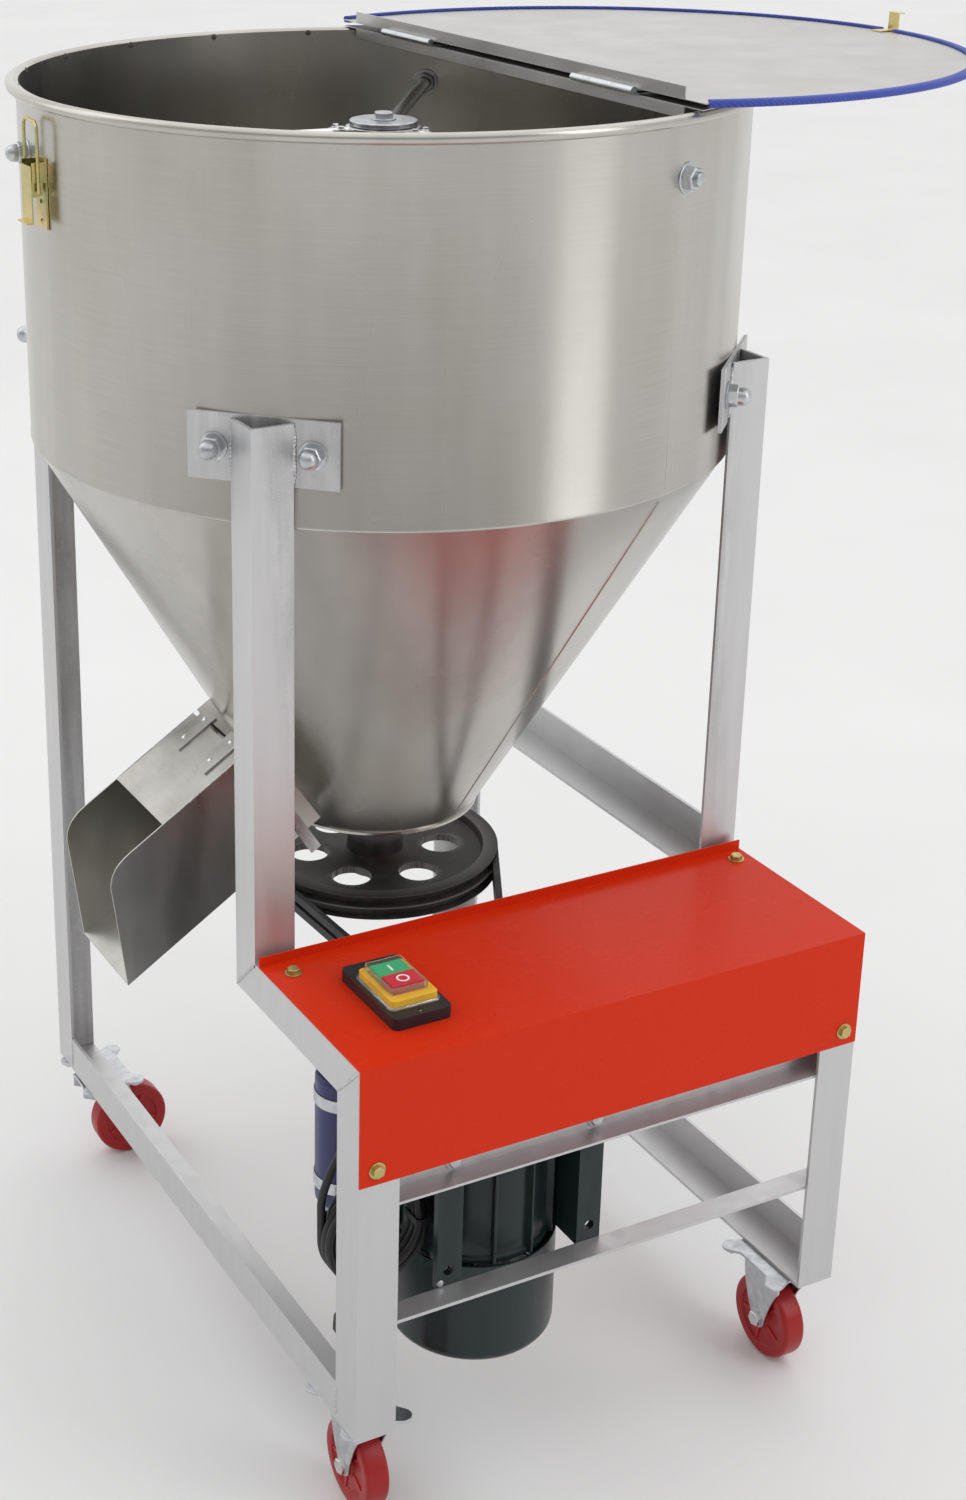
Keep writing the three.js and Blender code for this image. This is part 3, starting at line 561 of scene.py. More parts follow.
LOOKS = {
    "stainless_sheet": sheet_steel("stainless_sheet", (0.55, 0.533, 0.497), 0.26, 0.5),
    "chute_steel": sheet_steel("chute_steel", (0.54, 0.53, 0.50), 0.30, 0.0, 0.22, 16),
    "lid_steel": sheet_steel("lid_steel", (0.56, 0.555, 0.545), 0.42, 0.0, 0.05, 4),
    "flight_steel": sheet_steel("flight_steel", (0.54, 0.53, 0.50), 0.35, 0.0, 0.2, 12),
    "bright_stainless": plated_metal("bright_stainless", (0.68, 0.68, 0.67), 0.22),
    "silver_paint": silver_paint(),
    "red_paint": gloss_paint("red_paint", (0.48, 0.022, 0.004), 0.26, 0.02, 0.05, specular=0.1),
    "green_paint": gloss_paint("green_paint", (0.012, 0.022, 0.022), 0.30, 0.12, 0.2,
                               (0.035, 0.045, 0.042), 0.3),
    "zinc": plated_metal("zinc", (0.56, 0.58, 0.60), 0.34),
    "yellow_zinc": plated_metal("yellow_zinc", (0.56, 0.46, 0.20), 0.30, (0.34, 0.42, 0.16)),
    "dark_iron": cast_iron(),
    "wheel_red": gloss_paint("wheel_red", (0.36, 0.012, 0.013), 0.32, 0.08, 0.15, specular=0.3),
    "capacitor_navy": gloss_paint("capacitor_navy", (0.013, 0.016, 0.115), 0.34, 0.2, 0.15),
    "black_rubber": moulded("black_rubber", (0.014, 0.014, 0.016), 0.48),
    "seal_blue": braided_trim(),
    "switch_black": moulded("switch_black", (0.014, 0.016, 0.021), 0.36, 500, 0.1),
    "switch_yellow": moulded("switch_yellow", (0.84, 0.44, 0.035), 0.36, 500, 0.08),
    "button_green": moulded("button_green", (0.035, 0.30, 0.125), 0.34, 500, 0.08),
    "button_red": moulded("button_red", (0.42, 0.025, 0.04), 0.34, 500, 0.08),
    "white_mark": moulded("white_mark", (0.80, 0.78, 0.76), 0.4, 500, 0.05),
    "clear_cover": clear_plastic(),
    "weld": plated_metal("weld", (0.60, 0.60, 0.60), 0.36),
}


# ---- CAD nodes that keep their shape ----

KEPT = {
    "silver_paint": ["rear_left_leg", "rear_right_leg", "front_left_post", "front_right_post",
                     "front_left_leg", "front_right_leg", "left_shelf_rail", "right_shelf_rail",
                     "left_base_rail", "right_base_rail", "right_side_rail", "motor_mount_rail",
                     "front_tie_bar"],
    "red_paint": ["belt_guard"],
    "chute_steel": ["outlet_chute"],
    "bright_stainless": ["motor_shaft", "discharge_gate"],
    "zinc": ["front_hinge_fixed_leaf", "rear_hinge_fixed_leaf", "front_hinge_lid_leaf",
             "rear_hinge_lid_leaf"],
    "yellow_zinc": ["latch_base", "latch_lever", "latch_bail", "lid_hook"],
    "switch_black": ["switch_base"],
    "switch_yellow": ["switch_bezel"],
    "button_green": ["start_button"],
    "button_red": ["stop_button"],
}
EDGE_ROUND = {"silver_paint": 0.9, "red_paint": 0.7, "chute_steel": 0.4, "bright_stainless": 0.3,
              "zinc": 0.35, "yellow_zinc": 0.35, "switch_black": 1.2, "switch_yellow": 1.3,
              "button_green": 0.9, "button_red": 0.9}


def dress_kept_nodes():
    for look, names in KEPT.items():
        for name in names:
            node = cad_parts[name]
            node.data.materials.clear()
            node.data.materials.append(LOOKS[look])
            soften(node, EDGE_ROUND[look])


# ---- Mains lead ----

LEAD_DOWN = [
    (-232, -464, 547.5),
    (-232, -464, 530),
    (-235, -464, 512),
    (-244, -464, 492),
    (-257, -463, 471),
    (-271, -462, 449),
    (-284, -460, 428),
    (-295, -458.5, 406),
    (-302.5, -457.4, 385),
    (-305.5, -457, 370),
    (-305.7, -457, 361),
]
LEAD_TAIL = [
    (-276.8, -466, 263.5),
    (-275.5, -466, 254),
    (-275.3, -466, 236),
]
COIL_HOOK = [
    (-262, -440.5, 372),
    (-259, -443, 371),
    (-256, -446, 370),
    (-250, -449, 368.5),
    (-247, -454, 367.5),
    (-247, -470, 367.5),
    (-247, -484, 367.8),
    (-247, -488, 370),
    (-247, -489.5, 375),
]
# The coil's strands, in the order that they are wound: radius and y
STRANDS = [(58.5, -457), (49.5, -457), (49.5, -466), (49.5, -475), (58.5, -475), (58.5, -466)]
COIL_START = 180
COIL_END = 225 + 360 * 5
FIRST_STEP = 510
STEP_EVERY = 320
STEP_SPAN = 40
COIL_PITCH = 6
GLAND_RIBS = 5
CURVE_STEPS = 5


def smooth_step(t):
    t = min(1, max(0, t))
    return t * t * (3 - 2 * t)


def coil_points():
    """Strand after strand, each stepping over to the next one a little earlier in its turn."""
    points = []
    for degrees in range(COIL_START, COIL_END + 1, COIL_PITCH):
        radius, y = STRANDS[0]
        for k in range(1, len(STRANDS)):
            start = FIRST_STEP + (k - 1) * STEP_EVERY - STEP_SPAN / 2
            share = smooth_step((degrees - start) / STEP_SPAN)
            radius += (STRANDS[k][0] - STRANDS[k - 1][0]) * share
            y += (STRANDS[k][1] - STRANDS[k - 1][1]) * share
        a = math.radians(degrees)
        points.append((COIL_CENTRE.x + radius * math.cos(a), y, COIL_CENTRE.z + radius * math.sin(a)))
    return points


def catmull(points):
    """A smooth curve through the points, with CURVE_STEPS points to each stretch."""
    points = [Vector(p) for p in points]
    ends = [points[0] * 2 - points[1], *points, points[-1] * 2 - points[-2]]
    curve = []
    for a, b, c, d in zip(ends, ends[1:], ends[2:], ends[3:]):
        for i in range(CURVE_STEPS):
            t = i / CURVE_STEPS
            curve.append(0.5 * (2 * b + (c - a) * t + (2 * a - 5 * b + 4 * c - d) * t * t
                                + (3 * b - a - 3 * c + d) * t ** 3))
    return [*curve, points[-1]]


def add_gland(x, y):
    """A screwed gland under the shelf with a tapered, ribbed strain relief."""
    bm = bmesh.new()
    low, high = limits("cord_gland")
    profile = [(0, high.z), (12, high.z), (12, high.z - 1)]
    profile += [(11, high.z - 8), (9.4, high.z - 8)]
    for i in range(GLAND_RIBS):
        top = high.z - 9 - i * 3.6
        radius = 9 - i * 0.45
        profile += [(radius, top), (radius, top - 2.2)]
        profile += [(radius - 1.2, top - 2.2), (radius - 1.2, top - 3.6)]
    profile += [(6.4, low.z + 1), (5.8, low.z), (0, low.z)]
    lathe(bm, profile, 40, moved(x, y))
    prism(bm, polygon(12.6, 6), high.z - 7, high.z - 1, moved(x, y))
    return piece("lead_strain_relief", bm, "black_rubber", replaces=["cord_gland"], edge=0.3)


def add_plug(x, y, top):
    """A moulded two-pin plug with an earth pin, hanging with its pins down."""
    bm = bmesh.new()
    low, high = limits("mains_plug")
    body_low = low.z + 17
    levels = [(8, 7, top - 0.2), (9.5, 8.5, top - 4), (12, 10, top - 9), (15.2, 15, top - 14),
              (15.6, 16, body_low + 8), (15.6, 16.6, body_low + 2), (14.8, 15.8, body_low)]
    rings = stack(bm, moved(x, y), [(rounded_outline(a, b, min(a, b) * 0.55), z) for a, b, z in levels])
    bm.faces.new(rings[0])
    bm.faces.new(list(reversed(rings[-1])))
    body = piece("lead_plug", bm, "black_rubber", replaces=["mains_plug"], edge=0.4)
    bm = bmesh.new()
    for pin in ((-6.4, -3), (6.4, -3), (0, 8)):
        block(bm, (-0.8, 0.8), (-3.2, 3.2), (low.z + 0.5, body_low + 1), moved(x, y) @ moved(*pin))
    pins = piece("lead_plug_pins", bm, "bright_stainless", edge=0.4)
    return body, pins


def add_lead():
    route = catmull(LEAD_DOWN)[:-1] + [Vector(p) for p in coil_points()] + catmull(LEAD_TAIL)
    points = [to_frame(p) for p in route]
    curve = bpy.data.curves.new("mains_lead", "CURVE")
    curve.dimensions = "3D"
    spline = curve.splines.new("POLY")
    spline.points.add(len(points) - 1)
    for target, point in zip(spline.points, points):
        target.co = (*point, 1)
    spline.use_smooth = True
    curve.bevel_depth = CORD_R * MM
    curve.bevel_resolution = 5
    curve.use_fill_caps = True
    curve.materials.append(LOOKS["black_rubber"])
    lead = bpy.data.objects.new("mains_lead", curve)
    bpy.context.collection.objects.link(lead)
    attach(lead, "frame")
    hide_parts("mains_cord", "mains_coil", "mains_cord_tail")
    gland = add_gland(*LEAD_DOWN[0][:2])
    body, pins = add_plug(*LEAD_TAIL[-1])


def add_lead_ties():
    """A strap round the coil, a white tie on the lead, and the hook that the coil hangs on."""
    bm = bmesh.new()
    place = facing(COIL_CENTRE + Vector((54, 0, 0)), (0, 0, 1))
    outer = rounded_outline(10.6, 15.2, 4)
    inner = rounded_outline(9.6, 14.2, 3.2)
    stack(bm, place, ((outer, -4), (outer, 4), (inner, 4), (inner, -4)), True)
    block(bm, (8, 14), (-3.5, 3.5), (-3, 3), place)
    piece("coil_strap", bm, "black_rubber", edge=0.3)
    bm = bmesh.new()
    place = facing(Vector(LEAD_DOWN[5]), Vector(LEAD_DOWN[6]) - Vector(LEAD_DOWN[4]))
    lathe(bm, [(CORD_R + 0.1, -2), (CORD_R + 1.2, -2), (CORD_R + 1.2, 2), (CORD_R + 0.1, 2)],
          32, place, closed=True)
    block(bm, (CORD_R, CORD_R + 4), (-2, 2), (-2.4, 2.4), place)
    piece("lead_tie", bm, "switch_black", look="white_mark", edge=0.25)
    bm = bmesh.new()
    tube(bm, catmull(COIL_HOOK), 1.9, 12)
    piece("coil_hook", bm, "zinc")


# ---- Floor and light ----

LIGHT_AIM = (0, 0, 900)
LIGHT_DISTANCE = 4.2
FLOOR_HALF = 40000


def add_floor():
    bm = bmesh.new()
    block(bm, (-FLOOR_HALF, FLOOR_HALF), (-FLOOR_HALF, FLOOR_HALF), (-20, -0.5))
    mesh = mesh_of("floor", bm)
    place_mesh(mesh)
    floor = bpy.data.objects.new("floor", mesh)
    bpy.context.collection.objects.link(floor)
    material, tree, shader = new_look("floor", 0.0, 0.2)
    shader.inputs["Roughness"].default_value = 0.8
    tone = noise(tree, (1, 1, 1), 1.5, 3)
    link(tree, mix(tree, spread(tree, tone, 0, 1), (0.80, 0.80, 0.80), (0.83, 0.83, 0.83)),
         shader.inputs["Base Color"])
    mesh.materials.append(material)


def add_soft_box(name, azimuth, elevation, size, power):
    light = bpy.data.lights.new(name, "AREA")
    light.shape = "RECTANGLE"
    light.size, light.size_y = size
    light.energy = power
    obj = bpy.data.objects.new(name, light)
    bpy.context.collection.objects.link(obj)
    a = math.radians(azimuth)
    e = math.radians(elevation)
    direction = Vector((math.cos(a) * math.cos(e), math.sin(a) * math.cos(e), math.sin(e)))
    obj.location = to_frame(LIGHT_AIM) + direction * LIGHT_DISTANCE
    obj.rotation_euler = direction.to_track_quat("Z", "Y").to_euler()


def add_world():
    """A studio surround that is lighter behind the machine than on the operator's side."""
    world = bpy.data.worlds.new("studio")
    world.use_nodes = True
    tree = world.node_tree
    background = tree.nodes["Background"]
    place = tree.nodes.new("ShaderNodeTexCoord")
    side = tree.nodes.new("ShaderNodeVectorMath")
    side.operation = "DOT_PRODUCT"
    side.inputs[1].default_value = (-0.48, -0.88, 0)
    link(tree, place.outputs["Generated"], side.inputs[0])
    share = spread(tree, side.outputs["Value"], 0, 1, -1, 1)
    link(tree, mix(tree, share, (1.0, 1.0, 1.0), (0.35, 0.347, 0.343)), background.inputs["Color"])
    background.inputs["Strength"].default_value = 1.0
    bpy.context.scene.world = world


def add_light():
    """A key and a fill box, and a broad soft light from overhead."""
    add_soft_box("key_right_front", -58, 24, (1.3, 3.2), 24)
    add_soft_box("fill_left_rear", 138, 30, (2.2, 3.0), 16)
    sky = bpy.data.lights.new("overhead", "SUN")
    sky.energy = 1.0
    sky.angle = math.radians(110)
    obj = bpy.data.objects.new("overhead", sky)
    bpy.context.collection.objects.link(obj)
    bpy.context.scene.view_settings.view_transform = "Standard"


# ---- Hopper ----

def hopper_profile():
    """From the middle of the floor plate up the outside, round the rolled rim and down the inside."""
    rim = arc((HOPPER_R + BEAD_R, RIM_TOP - BEAD_R), BEAD_R, -150, 150, 20)
    inner = HOPPER_R - WALL
    slope = (HOPPER_R - CONE_FOOT_R) / (CONE_TOP - CONE_FOOT)
    return [
        (24, CONE_FOOT - 3),
        (CONE_FOOT_R + 1.2, CONE_FOOT - 3),
        (CONE_FOOT_R + 1.2, CONE_FOOT),
        (CONE_FOOT_R, CONE_FOOT + 0.6),
        (HOPPER_R - 3 * slope, CONE_TOP - 3),
        (HOPPER_R + 0.5, CONE_TOP - 1.2),
        (HOPPER_R + 0.6, CONE_TOP + 0.6),
        (HOPPER_R, CONE_TOP + 2),
        *rim,
        (inner, RIM_TOP - 3),
        (inner, CONE_TOP + 1),
        (CONE_FOOT_R - WALL, CONE_FOOT + 1),
        (24, CONE_FOOT + 1),
    ]


def chute_neck():
    """The square spout between the cone and the chute, trimmed where it enters the hopper."""
    neck = bmesh.new()
    block(neck, (-175, -127), (-CHUTE_Y, CHUTE_Y), (-CHUTE_N, CHUTE_N), in_chute())
    inside = bmesh.new()
    lathe(inside, [(0, CONE_FOOT + 1), (CONE_FOOT_R - WALL, CONE_FOOT + 1),
                   (HOPPER_R - WALL, CONE_TOP + 1), (0, CONE_TOP + 1)], 120)
    return boolean(neck, inside)


def chute_throat():
    throat = bmesh.new()
    block(throat, (-190, -120), (2 - CHUTE_Y, CHUTE_Y - 2), (2 - CHUTE_N, CHUTE_N - 2), in_chute())
    clear = bmesh.new()
    block(clear, (-400, -30), (-100, 100), (CONE_FOOT + 1, CONE_TOP))
    return boolean(throat, clear, "INTERSECT")


def along_rod(angle):
    """On the hopper's axis, with local Z pointing out along a rod."""
    return turned_z(angle) @ moved(0, 0, ROD_Z) @ Matrix.Rotation(math.pi / 2, 4, "Y")


def add_hopper():
    bm = bmesh.new()
    lathe(bm, hopper_profile(), 240, closed=True)
    shell = boolean(bm, chute_neck(), "UNION")
    shell = boolean(shell, chute_throat())
    for angle in ROD_ANGLES:
        hole = bmesh.new()
        lathe(hole, [(0, 380), (9, 380), (9, 430), (0, 430)], 32, along_rod(angle))
        shell = boolean(shell, hole)
    piece("hopper_body", shell, "stainless_sheet", replaces=["hopper_shell"], sharp=30)


def add_hopper_seams():
    """The upright seam, the cone's seam and the spot welds under the rim."""
    bm = bmesh.new()
    levels = range(CONE_TOP + 4, int(RIM_TOP) - 10, 6)
    tube(bm, [around(HOPPER_R - 0.15, SEAM_ANGLE, z) for z in levels], 0.75, 8)
    foot = CONE_FOOT_R + 0.1
    cone = [around(foot + (HOPPER_R - foot) * t - 0.1, SEAM_ANGLE, CONE_FOOT + (CONE_TOP - CONE_FOOT) * t)
            for t in (i / 40 for i in range(1, 40))]
    tube(bm, cone, 0.7, 8)
    piece("hopper_seams", bm, "stainless_sheet")
    bm = bmesh.new()
    for k in range(SPOT_WELDS):
        angle = SPOT_START + 360 / SPOT_WELDS * k
        ball(bm, around(HOPPER_R - WALL, angle, RIM_TOP - 5.5), 3.6, 0.35, -around(1, angle, -0.35))
    piece("rim_spot_welds", bm, "stainless_sheet", look="dark_iron")


# ---- Fasteners: each is drawn along the local Z of its place, from the face it sits on ----

def washer(bm, place, radius, bore, thickness):
    profile = [(bore, 0), (radius - 0.4, 0), (radius, 0.4), (radius, thickness - 0.4),
               (radius - 0.4, thickness), (bore, thickness)]
    lathe(bm, profile, 40, place, closed=True)


def hex_part(bm, place, radius, low, high, start=0.0):
    """A hexagon with chamfered corners on its outer face."""
    prism(bm, polygon(radius, 6, start), low, high - radius * 0.12, place)
    prism(bm, polygon(radius, 6, start), high - radius * 0.12, high, place, 0.10)


def acorn_nut(bm, place, radius=12.5):
    washer(bm, place, radius * 1.2, radius * 0.5, 2.2)
    hex_part(bm, place, radius, 2.2, 2.2 + radius * 0.85, 11)
    base = 2.2 + radius * 0.8
    dome = [(radius * 0.80, base)]
    dome += [(radius * 0.80 * math.cos(a), base + radius * 0.35 + radius * 0.75 * math.sin(a))
             for a in (math.radians(90 * i / 10) for i in range(10))]
    dome.append((0, base + radius * 1.1))
    lathe(bm, dome, 32, place)


def hex_nut(bm, place, radius, thread, stick_out):
    washer(bm, place, radius * 1.25, thread, 2.0)
    top = 2.0 + radius * 0.8
    hex_part(bm, place, radius, 2.0, top, 8)
    lathe(bm, [(thread, top - 1), (thread, top + stick_out - 1), (thread - 1, top + stick_out),
               (0, top + stick_out)], 28, place)


def hex_bolt(bm, place, radius, height, turn=5):
    washer(bm, place, radius * 1.35, radius * 0.5, 1.4)
    hex_part(bm, place, radius, 1.4, 1.4 + height, turn)


def rod_place(angle, radius):
    """On the hopper's wall at a rod, facing out."""
    return facing(around(radius, angle, ROD_Z), around(1, angle))


def add_plate_nuts():
    for sx, sy, name in CORNERS:
        out = Vector((sx, sy, 0)).normalized()
        along = Vector((-out.y, out.x, 0)) * PLATE_BOLT_SIDE
        nuts = bmesh.new()
        bolts = bmesh.new()
        for side in (-1, 1):
            bolt = along * side + Vector((0, 0, PLATE_BOLT_Z))
            acorn_nut(nuts, facing(out * PLATE_FACE + bolt, out))
            hex_bolt(bolts, facing(out * (HOPPER_R - WALL - 3.2) + bolt, -out), 9.5, 6)
        piece(f"{name}_hopper_nuts", nuts, "zinc", edge=0.25)
        piece(f"{name}_hopper_bolts", bolts, "zinc", edge=0.25)


# ---- Top bearing and its rods ----

def add_bearing():
    bm = bmesh.new()
    bore = SHAFT_R + 0.4
    lathe(bm, [(bore, 1374), (40, 1374), (44, 1378), (44, 1391), (42, 1393), (42, 1395.5), (40, 1396),
               (bore, 1396)], 96, closed=True)
    for angle in ROD_ANGLES:
        place = turned_z(angle)
        lug = [(36, -14), (58, -12), (62, -8), (62, 8), (58, 12), (36, 14)]
        prism(bm, lug, ROD_Z - 11, ROD_Z + 7, place)
        for side in (-9, 9):
            hex_bolt(bm, place @ moved(53, side, ROD_Z + 7), 3.6, 2.6)
    piece("top_bearing_housing", bm, "bright_stainless", replaces=["bearing_spider"], edge=0.5)
    bm = bmesh.new()
    for angle in ROD_ANGLES:
        profile = [(0, 42), (7.9, 42), (7.9, 372)]
        for i in range(18):
            profile += [(8.0, 373 + i * 1.5), (7.3, 373.75 + i * 1.5)]
        profile += [(7.9, 400), (7.9, 410), (0, 410)]
        lathe(bm, profile, 32, along_rod(angle))
    piece("bearing_rods", bm, "bright_stainless")
    bm = bmesh.new()
    for angle in ROD_ANGLES[:2]:
        hex_nut(bm, rod_place(angle, HOPPER_R + 0.2), 13, 7.6, 5)
    acorn_nut(bm, rod_place(ROD_ANGLES[2], HOPPER_R + 0.2), 11.5)
    for angle in ROD_ANGLES:
        place = rod_place(angle, HOPPER_R - WALL - 0.2) @ FLIPPED
        washer(bm, place, 16, 8, 2)
        hex_part(bm, place, 13, 2, 11, 14)
    piece("bearing_rod_nuts", bm, "zinc", edge=0.3)


# ---- Mixing shaft ----

def add_mixer():
    bm = bmesh.new()
    lathe(bm, [(0, 472), (SHAFT_R - 1.5, 472), (SHAFT_R, 473.5), (SHAFT_R, 1396.5), (0, 1396.5)], 64)
    lathe(bm, [(0, 1396.5), (37, 1396.5), (38, 1397.5), (38, 1401.5), (37, 1402.5), (0, 1402.5)], 96)
    hex_part(bm, moved(0, 0, 1402.5), 11, 0, 8.4, 12)
    washer(bm, moved(0, 0, 1402.5), 14, 4, 1.6)
    piece("mixing_shaft", bm, "bright_stainless", "mixer", ["mixer_shaft"], edge=0.2, look="zinc")
    bm = bmesh.new()
    low, high = AUGER_Z
    inner = SHAFT_R + 0.3
    rings = []
    for i in range(int((high - low) / AUGER_PITCH * AUGER_STEPS) + 1):
        z = low + AUGER_PITCH * i / AUGER_STEPS
        rings.append([bm.verts.new(around(r, 360 * i / AUGER_STEPS, z + dz))
                      for r, dz in ((inner, -1.5), (AUGER_R, -1.5), (AUGER_R, 1.5), (inner, 1.5))])
    join_rings(bm, rings)
    bm.faces.new(list(reversed(rings[0])))
    bm.faces.new(rings[-1])
    piece("mixing_auger", bm, "stainless_sheet", "mixer", ["auger_flight"], look="flight_steel")


def groove_profile(radius, inner, hub):
    low, high = PULLEY_Z
    rim = [(radius - 0.8, low), (radius, low + 0.8)]
    for z in GROOVES:
        rim += [(radius, z - 6.8), (radius - GROOVE_DEPTH, z - 5.0)]
        rim += [(radius - GROOVE_DEPTH, z + 5.0), (radius, z + 6.8)]
    return [*inner, *rim, (radius, high - 0.8), (radius - 0.8, high), *hub]


def add_pulleys():
    bore = SHAFT_R + 0.3
    top = [(134, 519), (131, 510), (128, 508.5), (40, 508.5), (35, 512), (33, 540), (bore, 540)]
    bottom = [(bore, 484), (33, 484), (34, 497), (38, 500), (128, 500), (131, 498), (134, 489)]
    wheel = bmesh.new()
    lathe(wheel, groove_profile(PULLEY_R, bottom, top), 144, closed=True)
    for k in range(PULLEY_HOLES):
        hole = bmesh.new()
        lathe(hole, [(0, 480), (HOLE_R, 480), (HOLE_R, 545), (0, 545)], 48,
              moved(*around(HOLE_CIRCLE_R, 360 / PULLEY_HOLES * k - 18)))
        wheel = boolean(wheel, hole)
    piece("driven_pulley", wheel, "dark_iron", "mixer", ["large_pulley"], sharp=35)
    bm = bmesh.new()
    lathe(bm, groove_profile(MOTOR_PULLEY_R, [(14.3, 489)], [(14.3, 519)]), 96,
          moved(MOTOR.x, MOTOR.y), closed=True)
    piece("drive_pulley", bm, "dark_iron", "motor_rotor", ["motor_pulley"], sharp=35)


def add_bottom_bearing():
    bm = bmesh.new()
    bore = SHAFT_R + 0.4
    top = CONE_FOOT - 3.3
    lathe(bm, [(bore, 546), (30, 546), (36, 550), (36, 570), (40, 577), (54, 577), (56, 579),
               (56, top), (bore, top)], 96, closed=True)
    for k in range(4):
        hex_bolt(bm, moved(*around(47, 45 + 90 * k, 577)) @ FLIPPED, 5.5, 4)
    piece("bottom_bearing_housing", bm, "dark_iron", replaces=["bottom_bearing"], edge=0.3)
    bm = bmesh.new()
    for k in range(8):
        hex_bolt(bm, moved(*around(108, 20 + 45 * k, CONE_FOOT - 3)) @ FLIPPED, 5.5, 4)
    piece("floor_plate_bolts", bm, "zinc", edge=0.2)


# ---- Belts ----

def loop_around(big, small):
    """The line round both pulleys: two arcs and their common tangents."""
    distance = math.hypot(MOTOR.x, MOTOR.y)
    towards = math.degrees(math.atan2(MOTOR.y, MOTOR.x))
    lean = math.degrees(math.acos((big - small) / distance))
    points = arc((0, 0), big, towards + lean, towards - lean + 360, 72)
    points += arc((MOTOR.x, MOTOR.y), small, towards - lean, towards + lean, 40)
    return points


def add_belts():
    seat = 1 - GROOVE_DEPTH
    section = [(0, -4.8), (0, 4.8), (-0.6, 5.2), (seat, 3.4), (seat, -3.4), (-0.6, -5.2)]
    for i, z in enumerate(GROOVES):
        bm = bmesh.new()
        levels = [(loop_around(PULLEY_R + dr, MOTOR_PULLEY_R + dr), z + dz) for dr, dz in section]
        stack(bm, Matrix(), levels, True)
        piece(f"v_belt_{i + 1}", bm, "black_rubber", replaces=[f"drive_belt_{i + 1}"], sharp=25)


# ---- Motor ----

def motor_foot(side, back):
    """One of the two foot strips, with its web to the barrel and its bolt holes."""
    x, y = MOTOR.x, MOTOR.y
    outline = [(72, back), (102, back), (102, back + 9), (84, back + 9), (80, back + 14), (80, y - 20),
               (72, y - 20)]
    foot = bmesh.new()
    prism(foot, [(x + side * a, b) for a, b in outline], 264, 440)
    for z in (285, 424):
        hole = bmesh.new()
        place = facing((x + side * 88, FRONT + 30, z), (0, 1, 0))
        lathe(hole, [(0, 0), (6, 0), (6, 14), (0, 14)], 32, place)
        foot = boolean(foot, hole)
    return foot


def merge(bm, other):
    """Adds other's faces to bm."""
    mesh = mesh_of("merged", other)
    bm.from_mesh(mesh)
    bpy.data.meshes.remove(mesh)


def add_motor():
    x, y = MOTOR.x, MOTOR.y
    middle = moved(x, y)
    bm = bmesh.new()
    lathe(bm, [(20, 262), (86, 262), (86, 268), (BARREL_R, 270), (BARREL_R, 434), (88, 438), (92, 440),
               (92, 455), (89, 458), (60, 461), (44, 466), (40, 474), (20, 474)], 120, middle, closed=True)
    for k in range(12):
        place = middle @ turned_z(15 + 30 * k)
        prism(bm, [(BARREL_R - 4, -3.2), (BARREL_R + 1, -2.6), (90.4, -1.7), (91, 0), (90.4, 1.7),
                   (BARREL_R + 1, 2.6), (BARREL_R - 4, 3.2)], 263, 439, place)
    back = FRONT + 32.3
    for side in (-1, 1):
        merge(bm, motor_foot(side, back))
    for k in range(4):
        place = middle @ turned_z(45 + 90 * k) @ moved(82, 0, 459)
        hex_bolt(bm, place, 4.6, 3.6)
    piece("motor_casing", bm, "green_paint", replaces=["motor_housing"], edge=0.35, sharp=32)
    cowl = bmesh.new()
    lathe(cowl, [(COWL_R, 261.7), (COWL_R, 147), (92, 142), (89, 138), (84, 136),
                 (34, 136), (34, 138), (84, 138),
                 (88, 140), (91, 146), (91, 261.7)], 120, middle, closed=True)
    for k in range(12):
        slot = bmesh.new()
        prism(slot, rounded_outline(15, 2.6, 2.5), 130, 142, middle @ turned_z(30 * k) @ moved(62, 0))
        cowl = boolean(cowl, slot)
    piece("motor_cowl", cowl, "green_paint", replaces=["motor_fan_cover"], sharp=32)
    screws = bmesh.new()
    for k in range(4):
        out = around(1, -100 + 90 * k)
        hex_bolt(screws, facing(Vector((x, y, 252)) + out * COWL_R, out), 3.4, 2)
    ball(screws, (x - 98, back - 0.4, 272), 4.2, 0.6, (0, -1, 0))
    piece("motor_cowl_screws", screws, "zinc", edge=0.15)
    bolts = bmesh.new()
    for side in (-1, 1):
        hex_bolt(bolts, facing((x + side * 87, FRONT + 29, 424), (0, -1, 0)), 8, 4)
        hex_bolt(bolts, facing((x + side * 87, FRONT + 41.5, 424), (0, 1, 0)), 8, 5)
    piece("motor_mount_bolts", bolts, "zinc", edge=0.2)


# ---- Capacitors ----

def can_profile(radius, low, high, round_foot, round_top):
    foot = arc((radius - round_foot, low + round_foot), round_foot, -90, 0, 8)
    top = arc((radius - round_top, high - round_top), round_top, 0, 90, 8)
    return [(0, low), *foot, *top, (0, high)]


def ring_strap(bm, place, radius, low, high):
    profile = [(radius, low), (radius + 1, low), (radius + 1, high), (radius, high)]
    lathe(bm, profile, 64, place, closed=True)


